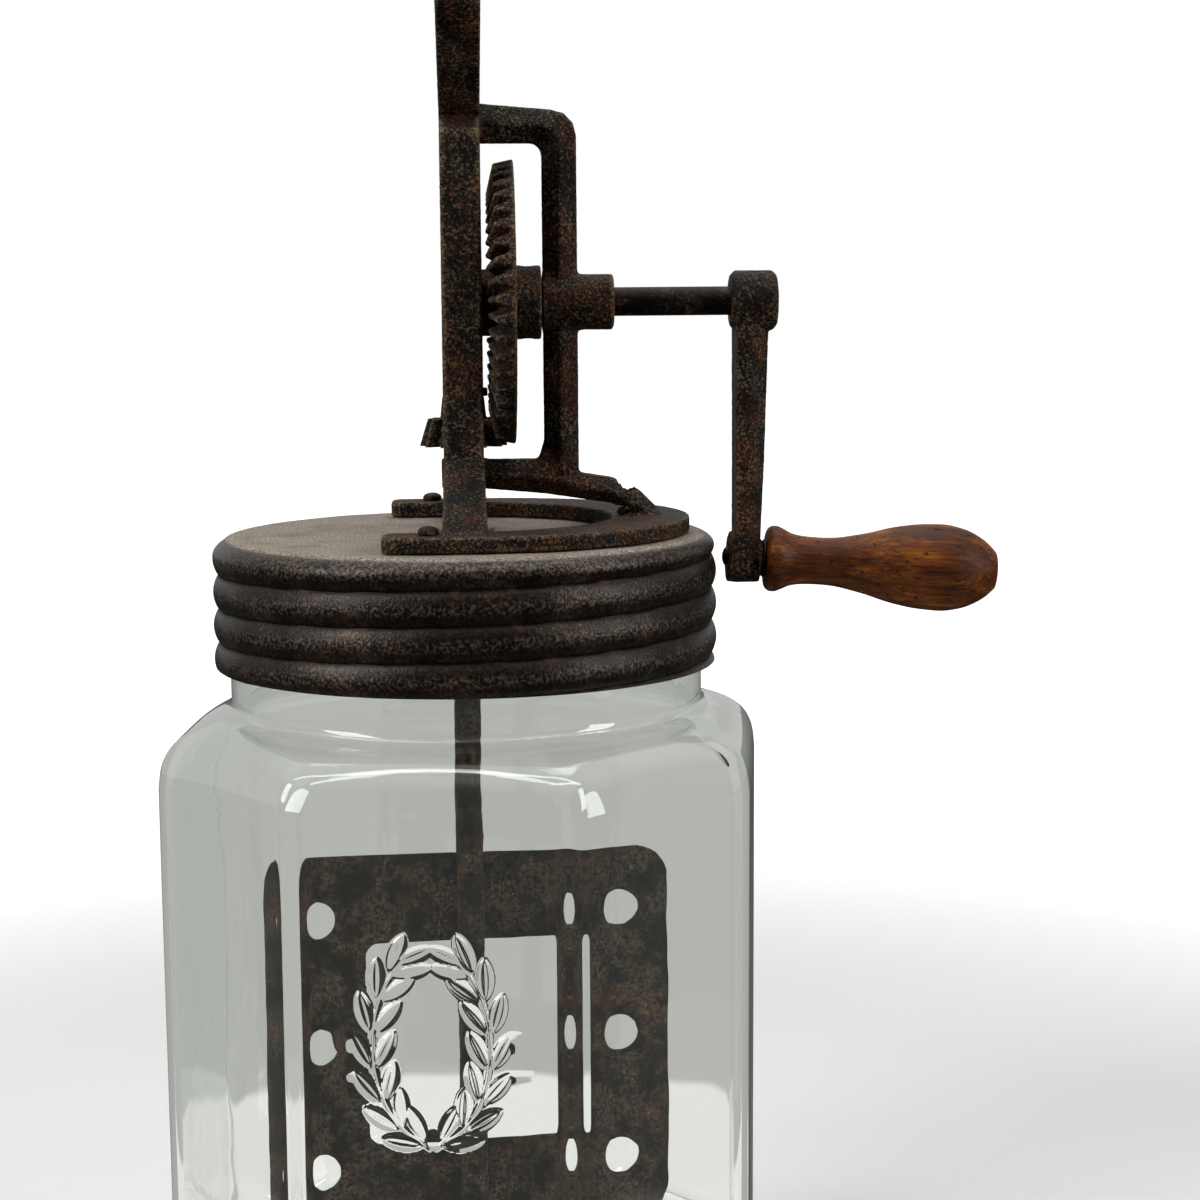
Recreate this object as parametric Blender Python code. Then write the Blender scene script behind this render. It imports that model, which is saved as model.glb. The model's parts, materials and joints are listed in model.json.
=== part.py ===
"""Hand cranked glass butter churn, modelled as separate pieces in metres with +Z up.

The origin is the centre of the jar's underside. +X points to the crank and -Y to the front.
"""

import math

import bmesh
import bpy
from mathutils import Matrix, Vector

# Glass jar: an octagon of wide and narrow faces under a rounded shoulder, with a round neck
JAR_FACES = 8
JAR_SHOULDER_WIDTH = 0.0164
JAR_WIDE_FACE = 0.0868
JAR_FOOT_TAPER = 0.0006
JAR_CORNER_ROUND = 0.007
JAR_TURN = math.radians(-7.5)
JAR_WALL = 0.004
JAR_FLOOR = 0.007
JAR_FOOT_ROUND = 0.004
JAR_MOUTH_Z = 0.247
JAR_NECK_HEIGHT = 0.047
JAR_SHOULDER_HEIGHT = 0.024
NECK_RADIUS = 0.0756
NECK_WALL = 0.004
NECK_THREAD_HEIGHT = 0.0013
NECK_THREAD_LENGTH = 0.027
NECK_LIP_HEIGHT = 0.0035
SHOULDER_SHARES = (
    (0.0, 0.0), (0.03, 0.21), (0.09, 0.375), (0.17, 0.50), (0.28, 0.60),
    (0.40, 0.69), (0.55, 0.765), (0.72, 0.83), (0.87, 0.90), (1.0, 1.0),
)

# Screw lid: sheet steel with a rolled right hand thread
LID_PLAY = 0.0007
LID_THREAD_DEPTH = 0.0019
LID_PITCH = 0.0107
LID_VALLEY_DROP = 0.0279
LID_HEIGHT = 0.041
LID_SHEET = 0.0010
LID_EDGE_ROUND = 0.005
SEAL_THICKNESS = 0.0034
SEAL_WIDTH = 0.0053
SEAL_SETBACK = 0.0008

# Gaps between pieces
GAP = 0.0003
RUNNING_GAP = 0.00009
CUT_OVERRUN = 0.002

# Base plate of the frame: a U open to the left
PLATE_THICKNESS = 0.005
PLATE_LEFT_X = -0.025
PLATE_SETBACK = 0.013
PLATE_RIM_WIDTH = 0.0156
PLATE_OUTER_CENTRE_X = 0.0065
PLATE_INNER_CENTRE_X = -0.0025
PLATE_CORNER_ROUND = 0.004

# Uprights, waist and fork of the frame
BAR_WIDTH = 0.0125
BAR_FOOT_WIDTH = 0.0138
BAR_THICKNESS = 0.005
BAR_HALF_SPACING = 0.024
FOOT_INSET = 0.0041
WAIST_BEND_RISE = 0.0015
WAIST_RISE = 0.006
WAIST_HALF_SPACING = 0.008
FORK_RISE = 0.0325
FORK_HALF_SPACING = 0.048
FORK_WIDTH = 0.0136
FORK_EYE_RADIUS = 0.0085

# Side arm, bridge and bosses of the frame
ARM_EDGE_THICKNESS = 0.0055
ARM_RIDGE_THICKNESS = 0.0125
ARM_DEPTH = 0.0126
ARM_WIDTH = 0.011
ARM_CLEARANCE = 0.0049
ARM_OUTER_ROUND = 0.008
ARM_INNER_ROUND = 0.0037
ARM_DROP = 0.0022
BRIDGE_DEPTH = 0.009
BRIDGE_FILLET = 0.006
SHOE_DROP = 0.0045
SHOE_INSET = 0.0096
SHOE_SHARES = ((0.42, 0.13), (0.71, 0.35), (1.0, 0.90))
BRIDGE_ARCH_SHARE = 0.6
BEARING_BOSS_RADIUS = 0.0088
BEARING_BOSS_PROUD = 0.0115
CROSS_BOSS_RADIUS = 0.0106
CROSS_BAR_HEIGHT = 0.014
ROD_BOSS_RADIUS = 0.0072

# Crank line and gears
CRANK_HEIGHT = 0.0679
SHAFT_RADIUS = 0.00455
CRANK_CLEARANCE = 0.0049
SHAFT_PROUD = 0.0003
GEAR_TEETH = 45
GEAR_PITCH_RADIUS = 0.0432
GEAR_ADDENDUM = 0.00135
GEAR_DEDENDUM = 0.0032
GEAR_TOE_SHARE = 0.77
GEAR_HEEL_FLARE_SHARE = 0.045
GEAR_RIM_PROUD = 0.0017
GEAR_RIM_WIDTH = 0.0051
GEAR_WEB_INSET = 0.0011
GEAR_HUB_RADIUS = 0.0117
GEAR_HUB_LENGTH = 0.0085
GEAR_HUB_PROUD = 0.0016
GEAR_HOLE_RADIUS = 0.0048
GEAR_HOLES = 5
PINION_TEETH = 12
PINION_ADDENDUM = 0.0018
PINION_DEDENDUM = 0.0019
PINION_HEEL_DROP = 0.0021
PINION_FACE = 0.0088
PINION_HUB_FOOT_RADIUS = 0.0074
PINION_HUB_TOP_RADIUS = 0.0062
PINION_HUB_LENGTH = 0.0118
PRESSURE_ANGLE = math.radians(20)
BACKLASH = 0.00066
CROSS_PIN_RADIUS = 0.0014
PINION_PIN_INSET = 0.0035
PINION_PIN_PROUD = 0.0016

# Crank arm and its grip
CRANK_HUB_LENGTH = 0.0149
CRANK_HUB_RADIUS = 0.0096
CRANK_HUB_ROUND = 0.0015
CRANK_LENGTH = 0.082
CRANK_ARM_TOP_WIDTH = 0.015
CRANK_EYE_RADIUS = 0.0085
CRANK_ARM_INSET = 0.0013
CRANK_ARM_TOP_THICKNESS = 0.0110
CRANK_ARM_EYE_THICKNESS = 0.0082
CRANK_ARM_EDGE_SHARE = 0.46
CRANK_ARM_RIDGE_SHARE = 0.35
CRANK_PAD_THICKNESS = 0.0021
GRIP_DROOP = math.radians(3.9)
GRIP_PIN_RADIUS = 0.0024
GRIP_PIN_HEAD_RADIUS = 0.0031
GRIP_PIN_HEAD_THICKNESS = 0.0015
GRIP_START = 0.0122
GRIP_LENGTH = 0.0750
GRIP_RADIUS = 0.01405
GRIP_WASHER_RADIUS = 0.006
GRIP_WASHER_THICKNESS = 0.0008
GRIP_RECESS_RADIUS = 0.0056
GRIP_RECESS_DEPTH = 0.0036
CRANK_GRIP_SHARES = (
    (0.0, 0.60), (0.005, 0.68), (0.02, 0.745), (0.045, 0.755), (0.072, 0.70), (0.11, 0.605),
    (0.155, 0.56), (0.21, 0.545), (0.27, 0.55), (0.33, 0.585), (0.44, 0.71), (0.54, 0.86),
    (0.64, 0.96), (0.72, 0.995), (0.79, 0.995), (0.87, 0.90), (0.925, 0.765), (0.965, 0.62), (1.0, 0.44),
)

# Dasher
ROD_RADIUS = 0.0043
ROD_TAIL = 0.0096
ROD_PROUD = 0.0015
BUSH_RADIUS = 0.0068
BUSH_FLANGE_RADIUS = 0.0095
BUSH_FLANGE_THICKNESS = 0.0018
BUSH_LENGTH = 0.006
COLLAR_RADIUS = 0.0062
COLLAR_LENGTH = 0.0035
DASHER_TURN = math.radians(6)
PADDLE_WIDTH = 0.130
PADDLE_HEIGHT = 0.1284
PADDLE_CLEARANCE = 0.0116
PADDLE_THICKNESS = 0.002
PADDLE_CORNER_ROUND = 0.012
PADDLE_SIDE_WIDTH = 0.0315
PADDLE_END_WIDTH = 0.030
PADDLE_HOLE_RADIUS = 0.00625
PADDLE_HOLE_END_INSET = 0.0217
PADDLE_HOLE_ROWS = 3
PADDLE_RIVET_RADIUS = 0.0016
PADDLE_RIVET_HEAD_RADIUS = 0.0032
PADDLE_RIVET_HEAD = 0.0014
PADDLE_RIVET_UPPER_INSET = 0.0085
PADDLE_RIVET_LOWER_INSET = 0.0061

# Fasteners of the base plate
SCREW_LEG_INSET = 0.014
SCREW_SHOE_INSET = 0.0045
SCREW_RADIUS = 0.0019
SCREW_HEAD_RADIUS = 0.0032
SCREW_HEAD_HEIGHT = 0.0024
SCREW_SLOT_WIDTH = 0.0008
SCREW_SLOT_DEPTH = 0.0009
NUT_RADIUS = 0.004
NUT_THICKNESS = 0.003

# Carrying grip in the fork
TOP_GRIP_RISE = 0.025
TOP_GRIP_RADIUS = 0.0138
TOP_GRIP_ROD_RADIUS = 0.003
TOP_NUT_RADIUS = 0.0055
TOP_NUT_THICKNESS = 0.004
TOP_ROD_PROUD = 0.0012
TOP_GRIP_SHARES = (
    (0.0, 0.62), (0.02, 0.74), (0.05, 0.78), (0.08, 0.74), (0.11, 0.64),
    (0.17, 0.66), (0.28, 0.84), (0.40, 0.97), (0.5, 1.0),
)

# How finely round shapes are divided
ROUND_STEPS = 24
SMALL_STEPS = 12
NECK_STEPS = 6 * JAR_FACES
NECK_THREAD_STEPS = 6
LID_INNER_STEPS = 12
LID_OUTER_STEPS = 18
ARC_STEPS = 6
NUT_SIDES = 6
FULL_TURN = 2 * math.pi
EIGHTH = FULL_TURN / JAR_FACES
SHARP_ANGLE = math.radians(35)

# Turns that lay a shape made along Z along another axis
ALONG_X = Matrix.Rotation(math.pi / 2, 4, "Y")
ALONG_Y = Matrix.Rotation(-math.pi / 2, 4, "X")

# The jar and its lid, from the mouth down and up
JAR_HALF_WIDTH = NECK_RADIUS + JAR_SHOULDER_WIDTH
JAR_NECK_Z = JAR_MOUTH_Z - JAR_NECK_HEIGHT
JAR_SHOULDER_Z = JAR_NECK_Z - JAR_SHOULDER_HEIGHT
NECK_THREAD_END_Z = JAR_MOUTH_Z - NECK_LIP_HEIGHT
NECK_THREAD_START_Z = NECK_THREAD_END_Z - NECK_THREAD_LENGTH
SEAL_OUTER_RADIUS = NECK_RADIUS - SEAL_SETBACK
SEAL_INNER_RADIUS = SEAL_OUTER_RADIUS - SEAL_WIDTH
LID_VALLEY_RADIUS = NECK_RADIUS + NECK_THREAD_HEIGHT + LID_PLAY + LID_SHEET
LID_TOP_Z = JAR_MOUTH_Z + SEAL_THICKNESS + LID_SHEET + 2 * GAP
LID_RIM_Z = LID_TOP_Z - LID_HEIGHT
LID_VALLEY_Z = LID_TOP_Z - LID_VALLEY_DROP

# Heights of the gears and of the frame that carries them, from the base plate up
PLATE_BOTTOM_Z = LID_TOP_Z + GAP
PLATE_TOP_Z = PLATE_BOTTOM_Z + PLATE_THICKNESS
CRANK_Z = PLATE_TOP_Z + CRANK_HEIGHT
GEAR_RIM_RADIUS = GEAR_PITCH_RADIUS + GEAR_RIM_PROUD
PINION_HEEL_Z = CRANK_Z - GEAR_PITCH_RADIUS - PINION_HEEL_DROP
PINION_TOE_Z = PINION_HEEL_Z + PINION_FACE
PINION_HUB_TOP_Z = PINION_TOE_Z + PINION_HUB_LENGTH
PINION_PIN_Z = PINION_HUB_TOP_Z - PINION_PIN_INSET
BRIDGE_TOP_Z = PINION_HEEL_Z - COLLAR_LENGTH - 3 * GAP
BRIDGE_UNDER_Z = BRIDGE_TOP_Z - BRIDGE_DEPTH
SHOE_TOP_Z = BRIDGE_TOP_Z - SHOE_DROP
ARM_UNDER_Z = CRANK_Z + GEAR_RIM_RADIUS + ARM_CLEARANCE
ARM_TOP_Z = ARM_UNDER_Z + ARM_DEPTH
WAIST_BEND_Z = ARM_UNDER_Z + WAIST_BEND_RISE
WAIST_Z = WAIST_BEND_Z + WAIST_RISE
FORK_BEND_Z = WAIST_Z + FORK_RISE
TOP_GRIP_Z = FORK_BEND_Z + TOP_GRIP_RISE
ROD_TOP_Z = PINION_HUB_TOP_Z + ROD_PROUD

# Places along the crank's axis, from the dasher's axis out
PINION_PITCH_RADIUS = GEAR_PITCH_RADIUS * PINION_TEETH / GEAR_TEETH
GEAR_WEB_X = PINION_PITCH_RADIUS + GEAR_WEB_INSET
GEAR_BACK_X = PINION_PITCH_RADIUS + GEAR_RIM_WIDTH
GEAR_HUB_START_X = GEAR_WEB_X - GEAR_HUB_PROUD
GEAR_HUB_END_X = GEAR_BACK_X + GEAR_HUB_LENGTH
CROSS_BOSS_END_X = GEAR_HUB_START_X - GAP
ARM_INNER_X = GEAR_HUB_END_X + 2 * GAP
ARM_OUTER_X = ARM_INNER_X + ARM_WIDTH
BEARING_BOSS_END_X = ARM_OUTER_X + BEARING_BOSS_PROUD
SHAFT_START_X = -BAR_WIDTH / 2
CRANK_HUB_START_X = LID_VALLEY_RADIUS + LID_THREAD_DEPTH + CRANK_CLEARANCE
CRANK_HUB_END_X = CRANK_HUB_START_X + CRANK_HUB_LENGTH
SHAFT_END_X = CRANK_HUB_END_X + SHAFT_PROUD
CRANK_ARM_LEFT_X = CRANK_HUB_START_X + CRANK_ARM_INSET
CRANK_ARM_PIN_X = CRANK_ARM_LEFT_X - CRANK_PAD_THICKNESS

# The base plate, which follows the lid, its feet and screws, and the fork
PLATE_OUTER_RADIUS = LID_VALLEY_RADIUS - PLATE_SETBACK
PLATE_INNER_RADIUS = PLATE_OUTER_RADIUS - PLATE_RIM_WIDTH
PLATE_INNER_END_X = PLATE_INNER_CENTRE_X + PLATE_INNER_RADIUS
SHOE_END_X = PLATE_OUTER_CENTRE_X + PLATE_OUTER_RADIUS - SHOE_INSET
FOOT_HALF_SPACING = PLATE_OUTER_RADIUS - FOOT_INSET
FORK_INNER_Y = FORK_HALF_SPACING - BAR_THICKNESS / 2
SCREW_LEG_Y = (PLATE_OUTER_RADIUS + PLATE_INNER_RADIUS) / 2
SCREW_LEG_X = PLATE_LEFT_X + SCREW_LEG_INSET
SCREW_SHOE_X = PLATE_INNER_END_X + SCREW_SHOE_INSET
SCREW_PLACES = ((SCREW_LEG_X, -SCREW_LEG_Y), (SCREW_LEG_X, SCREW_LEG_Y), (SCREW_SHOE_X, 0))

# The paddle and its rod, from the jar's floor up
PADDLE_Y = ROD_RADIUS + GAP + PADDLE_THICKNESS / 2
PADDLE_BOTTOM_Z = JAR_FLOOR + PADDLE_CLEARANCE
PADDLE_TOP_Z = PADDLE_BOTTOM_Z + PADDLE_HEIGHT
PADDLE_WINDOW_BOTTOM_Z = PADDLE_BOTTOM_Z + PADDLE_END_WIDTH
PADDLE_WINDOW_TOP_Z = PADDLE_TOP_Z - PADDLE_END_WIDTH
PADDLE_RIVET_UPPER_Z = PADDLE_TOP_Z - PADDLE_RIVET_UPPER_INSET
PADDLE_RIVET_LOWER_Z = PADDLE_WINDOW_BOTTOM_Z - PADDLE_RIVET_LOWER_INSET
ROD_BOTTOM_Z = PADDLE_RIVET_LOWER_Z - ROD_TAIL


def clear_scene():
    for obj in list(bpy.data.objects):
        bpy.data.objects.remove(obj, do_unlink=True)


def finish(name, colour, roughness, metallic=0.0, alpha=1.0):
    material = bpy.data.materials.new(name)
    material.use_nodes = True
    shader = material.node_tree.nodes["Principled BSDF"]
    shader.inputs["Base Color"].default_value = (*colour, 1.0)
    shader.inputs["Roughness"].default_value = roughness
    shader.inputs["Metallic"].default_value = metallic
    shader.inputs["Alpha"].default_value = alpha
    material.diffuse_color = (*colour, alpha)
    return material


def add_piece(name, bm, material, parent=None):
    """Makes a named object from a bmesh, shaded smooth with its sharp edges kept."""
    mesh = bpy.data.meshes.new(name)
    bm.to_mesh(mesh)
    bm.free()
    mesh.shade_smooth()
    mesh.set_sharp_from_angle(angle=SHARP_ANGLE)
    if material:
        mesh.materials.append(material)
    piece = bpy.data.objects.new(name, mesh)
    bpy.context.scene.collection.objects.link(piece)
    piece.parent = parent
    return piece


def add_axis(name, location, parent=None, rotation=(0, 0, 0)):
    axis = bpy.data.objects.new(name, None)
    axis.location = location
    axis.rotation_euler = rotation
    axis.parent = parent
    bpy.context.scene.collection.objects.link(axis)
    return axis


def shape_with(target, operation, name, bm):
    """Joins a shape to a piece or cuts it away, and hides the tool."""
    tool = add_piece(name, bm, None, target.parent)
    tool.hide_render = True
    tool.display_type = "WIRE"
    modifier = target.modifiers.new(name, "BOOLEAN")
    modifier.operation = operation
    modifier.solver = "EXACT"
    modifier.object = tool


def turned(profile, steps=ROUND_STEPS, hollow=False, turn=None):
    """Turns (radius, height) points about Z. A hollow profile closes on itself, and others get flat caps."""
    bm = bmesh.new()
    points = [bm.verts.new((radius, 0, height)) for radius, height in profile]
    edges = [bm.edges.new(pair) for pair in zip(points, points[1:])]
    if hollow:
        edges.append(bm.edges.new((points[-1], points[0])))
    geom = points + edges
    axis = (0, 0, 1)
    bmesh.ops.spin(bm, geom=geom, axis=axis, cent=(0, 0, 0), angle=FULL_TURN, steps=steps, use_merge=True)
    if not hollow:
        bmesh.ops.holes_fill(bm, edges=bm.edges, sides=0)
    bmesh.ops.recalc_face_normals(bm, faces=bm.faces)
    if turn:
        bmesh.ops.transform(bm, matrix=turn, verts=bm.verts)
    return bm


def cylinder(radius, start, end, turn=None, steps=ROUND_STEPS, centre=(0, 0, 0)):
    bm = turned([(radius, start), (radius, end)], steps, turn=turn)
    bmesh.ops.translate(bm, vec=centre, verts=bm.verts)
    return bm


def tube(inner, outer, start, end, turn=None, steps=ROUND_STEPS, centre=(0, 0, 0)):
    bm = turned([(inner, start), (outer, start), (outer, end), (inner, end)], steps, hollow=True, turn=turn)
    bmesh.ops.translate(bm, vec=centre, verts=bm.verts)
    return bm


def block(low, high):
    bm = bmesh.new()
    bmesh.ops.create_cube(bm, size=1)
    size = Vector(high) - Vector(low)
    bmesh.ops.scale(bm, vec=size, verts=bm.verts)
    bmesh.ops.translate(bm, vec=(Vector(high) + Vector(low)) / 2, verts=bm.verts)
    return bm


def arc(centre, radius, start, end, steps=ARC_STEPS):
    angles = [start + (end - start) * step / steps for step in range(steps + 1)]
    return [(centre[0] + radius * math.cos(a), centre[1] + radius * math.sin(a)) for a in angles]


def prism(outline, start, end):
    """A flat outline in X and Y, given thickness along Z."""
    bm = bmesh.new()
    face = bm.faces.new([bm.verts.new((x, y, start)) for x, y in outline])
    raised = bmesh.ops.extrude_face_region(bm, geom=[face])["geom"]
    risen = [item for item in raised if isinstance(item, bmesh.types.BMVert)]
    bmesh.ops.translate(bm, vec=(0, 0, end - start), verts=risen)
    bmesh.ops.recalc_face_normals(bm, faces=bm.faces)
    return bm


def lofted(rings):
    """Skins a run of rings with equal counts of points, and caps its two ends."""
    bm = bmesh.new()
    rows = [[bm.verts.new(point) for point in ring] for ring in rings]
    count = len(rows[0])
    for low, high in zip(rows, rows[1:]):
        for i in range(count):
            j = (i + 1) % count
            bm.faces.new((low[i], low[j], high[j], high[i]))
    bm.faces.new(reversed(rows[0]))
    bm.faces.new(rows[-1])
    bmesh.ops.recalc_face_normals(bm, faces=bm.faces)
    return bm


def ridged_bar(stations, trim=0.0):
    """A bar whose outer edge, ridge and inner edge pass through points in X and Z."""
    edge = ARM_EDGE_THICKNESS / 2 - trim
    ridge = ARM_RIDGE_THICKNESS / 2 - trim
    rings = []
    for outer, middle, inner in stations:
        front = [(outer, -edge), (middle, -ridge), (inner, -edge)]
        back = [(inner, edge), (middle, ridge), (outer, edge)]
        rings.append([(x, y, z) for (x, z), y in front + back])
    return lofted(rings)


def flat_bar(path, widths, side=1):
    """A flat bar bent in Y and Z along its centre line, with its width along X."""
    points = [Vector((y * side, z)) for y, z in path]
    rings = []
    for i, (point, width) in enumerate(zip(points, widths)):
        before = (point - points[i - 1]).normalized() if i else None
        after = (points[i + 1] - point).normalized() if i + 1 < len(points) else None
        along = ((before or after) + (after or before)).normalized()
        mitre = along.dot(before or after)
        reach = Vector((-along.y, along.x)) * (BAR_THICKNESS / 2 / mitre)
        corners = ((-1, -1), (1, -1), (1, 1), (-1, 1))
        rings.append([(sx * width / 2, *(point + reach * sy)) for sx, sy in corners])
    return lofted(rings)


def interpolate(shares, at):
    """Reads the second value of a table of pairs at a place along the first."""
    for (x0, y0), (x1, y1) in zip(shares, shares[1:]):
        if at <= x1:
            return y0 + (y1 - y0) * (at - x0) / (x1 - x0)
    return shares[-1][1]


def soft_minimum(a, b, blend):
    overlap = max(blend - abs(a - b), 0) / blend
    return min(a, b) - overlap * overlap * blend / 4


def octagon_radius(angle, half_width):
    """Distance from the axis to the jar's octagon, at an angle from the middle of a wide face."""
    off_wide = abs((angle + EIGHTH) % (2 * EIGHTH) - EIGHTH)
    off_narrow = EIGHTH - off_wide
    narrow = (half_width + JAR_WIDE_FACE / 2) / math.sqrt(2)
    blend = 4 * JAR_CORNER_ROUND * (1 / math.cos(EIGHTH / 2) - 1)
    return soft_minimum(half_width / math.cos(off_wide), narrow / math.cos(off_narrow), blend)


def octagon_angles():
    """The angle of each corner, and of five places along the face after it."""
    corner = math.atan2(JAR_WIDE_FACE / 2, JAR_HALF_WIDTH)
    bend = JAR_CORNER_ROUND * math.tan(EIGHTH / 2) / JAR_HALF_WIDTH
    angles = []
    for face in range(JAR_FACES):
        reach = EIGHTH - corner if face % 2 else corner
        steps = (-reach, bend - reach, (bend - reach) / 2, 0, (reach - bend) / 2, reach - bend)
        angles += [face * EIGHTH + step for step in steps]
    return angles


def even_angles():
    """As many angles, evenly spaced, with the fourth in the middle of the first face."""
    step = FULL_TURN / NECK_STEPS
    return [(i - 3) * step for i in range(NECK_STEPS)]


def thread_wave(angle, z):
    """0 in the valley of the right hand thread and 1 on its crest."""
    phase = (z - LID_VALLEY_Z) / LID_PITCH - angle / FULL_TURN
    return abs(math.sin(math.pi * phase)) ** 0.8


def jar_ring(z, inset=0.0, neck_inset=0.0, drop=0.0):
    """One ring of the jar: the octagon, which turns into the round neck up the shoulder."""
    taper = JAR_FOOT_TAPER * (1 - min(max(z / JAR_SHOULDER_Z, 0), 1))
    up = min(max((z + drop - JAR_SHOULDER_Z) / (JAR_NECK_Z - JAR_SHOULDER_Z), 0), 1)
    inward = interpolate([(rise, share) for share, rise in SHOULDER_SHARES], up)
    ring = []
    for crowded, even in zip(octagon_angles(), even_angles()):
        angle = crowded + (even - crowded) * inward
        edge = octagon_radius(angle, JAR_HALF_WIDTH - taper) - inset
        radius = edge + (NECK_RADIUS - neck_inset - edge) * inward
        turn = angle + JAR_TURN
        ring.append((radius * math.cos(turn), radius * math.sin(turn), z))
    return ring


def neck_ring(radius, z, thread=0.0):
    ring = []
    for angle in even_angles():
        turn = angle + JAR_TURN
        reach = radius + thread * thread_wave(turn, z)
        ring.append((reach * math.cos(turn), reach * math.sin(turn), z))
    return ring


def make_jar(glass):
    foot = JAR_FOOT_ROUND
    rings = [jar_ring(foot * (1 - math.cos(a)), inset=foot * (1 - math.sin(a)))
             for a in (0, math.pi / 6, math.pi / 3, math.pi / 2)]
    rings.append(jar_ring(JAR_SHOULDER_Z * 0.96))
    levels = [rise for _, rise in SHOULDER_SHARES]
    rise = JAR_NECK_Z - JAR_SHOULDER_Z
    rings += [jar_ring(JAR_SHOULDER_Z + rise * level) for level in levels]
    height = NECK_THREAD_END_Z - NECK_THREAD_START_Z
    for step in range(NECK_THREAD_STEPS + 1):
        envelope = min(1, step, NECK_THREAD_STEPS - step)
        z = NECK_THREAD_START_Z + height * step / NECK_THREAD_STEPS
        rings.append(neck_ring(NECK_RADIUS, z, NECK_THREAD_HEIGHT * envelope))
    middle = NECK_RADIUS - NECK_WALL / 2
    lip = [(middle + NECK_WALL / 2 * math.cos(a), JAR_MOUTH_Z + NECK_WALL / 2 * (math.sin(a) - 1))
           for a in (0, math.pi / 4, math.pi / 2, math.pi * 3 / 4, math.pi)]
    rings += [neck_ring(radius, z) for radius, z in lip]
    drop = JAR_WALL * 0.7
    for level in reversed(levels[::2]):
        rings.append(jar_ring(JAR_SHOULDER_Z + rise * level - drop, JAR_WALL, NECK_WALL, drop))
    fillet = JAR_FLOOR * 0.8
    rings += [jar_ring(JAR_FLOOR + fillet * (1 - math.cos(a)), JAR_WALL + fillet * (1 - math.sin(a)))
              for a in (math.pi / 2, math.pi / 4, 0)]
    return add_piece("glass_jar", lofted(rings), glass)


def make_lid(steel):
    """The cap: inner skin from the top down to the rim, then the outer skin back up."""
    inner_top = LID_TOP_Z - LID_SHEET
    valley = LID_VALLEY_RADIUS
    rings = [neck_ring(valley - LID_SHEET - LID_EDGE_ROUND / 2, inner_top),
             neck_ring(valley - LID_SHEET, inner_top - LID_EDGE_ROUND / 2)]
    top = inner_top - LID_EDGE_ROUND
    for step in range(LID_INNER_STEPS + 1):
        z = top + (LID_RIM_Z - top) * step / LID_INNER_STEPS
        rings.append(neck_ring(valley - LID_SHEET, z, LID_THREAD_DEPTH))
    edge_z = LID_TOP_Z - LID_EDGE_ROUND
    for step in range(LID_OUTER_STEPS + 1):
        z = LID_RIM_Z + (edge_z - LID_RIM_Z) * step / LID_OUTER_STEPS
        rings.append(neck_ring(valley, z, LID_THREAD_DEPTH))
    for a in (math.pi / 6, math.pi / 3, math.pi / 2):
        fade = LID_THREAD_DEPTH * math.cos(a)
        inward = LID_EDGE_ROUND * (1 - math.cos(a))
        rings.append(neck_ring(valley - inward, edge_z + LID_EDGE_ROUND * math.sin(a), fade))
    lid = add_piece("lid", lofted(rings), steel)
    low = inner_top - CUT_OVERRUN
    high = LID_TOP_Z + CUT_OVERRUN
    shape_with(lid, "DIFFERENCE", "lid_rod_hole", cylinder(BUSH_RADIUS + GAP, low, high))
    for number, (x, y) in enumerate(SCREW_PLACES, 1):
        hole = cylinder(SCREW_RADIUS + GAP, low, high, steps=SMALL_STEPS, centre=(x, y, 0))
        shape_with(lid, "DIFFERENCE", f"lid_screw_hole_{number}", hole)
    return lid


def make_seal_and_bush(rubber, brass):
    low = JAR_MOUTH_Z + GAP
    seal = tube(SEAL_INNER_RADIUS, SEAL_OUTER_RADIUS, low, low + SEAL_THICKNESS, steps=NECK_STEPS)
    add_piece("lid_seal", seal, rubber)
    hole = ROD_RADIUS + RUNNING_GAP
    foot = LID_TOP_Z + GAP
    top = foot + BUSH_FLANGE_THICKNESS
    profile = [(hole, top), (BUSH_FLANGE_RADIUS, top), (BUSH_FLANGE_RADIUS, foot),
               (BUSH_RADIUS, foot), (BUSH_RADIUS, top - BUSH_LENGTH), (hole, top - BUSH_LENGTH)]
    add_piece("rod_bush", turned(profile, hollow=True), brass)


def plate_outline():
    corner = PLATE_CORNER_ROUND
    left = PLATE_LEFT_X + corner
    quarter = math.pi / 2
    outline = arc((PLATE_OUTER_CENTRE_X, 0), PLATE_OUTER_RADIUS, -quarter, quarter, 24)
    outline += arc((left, PLATE_OUTER_RADIUS - corner), corner, quarter, 2 * quarter, 3)
    outline += arc((left, PLATE_INNER_RADIUS + corner), corner, 2 * quarter, 3 * quarter, 3)
    outline += arc((PLATE_INNER_CENTRE_X, 0), PLATE_INNER_RADIUS, quarter, -quarter, 20)
    outline += arc((left, -PLATE_INNER_RADIUS - corner), corner, quarter, 2 * quarter, 3)
    outline += arc((left, -PLATE_OUTER_RADIUS + corner), corner, 2 * quarter, 3 * quarter, 3)
    return outline


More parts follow.
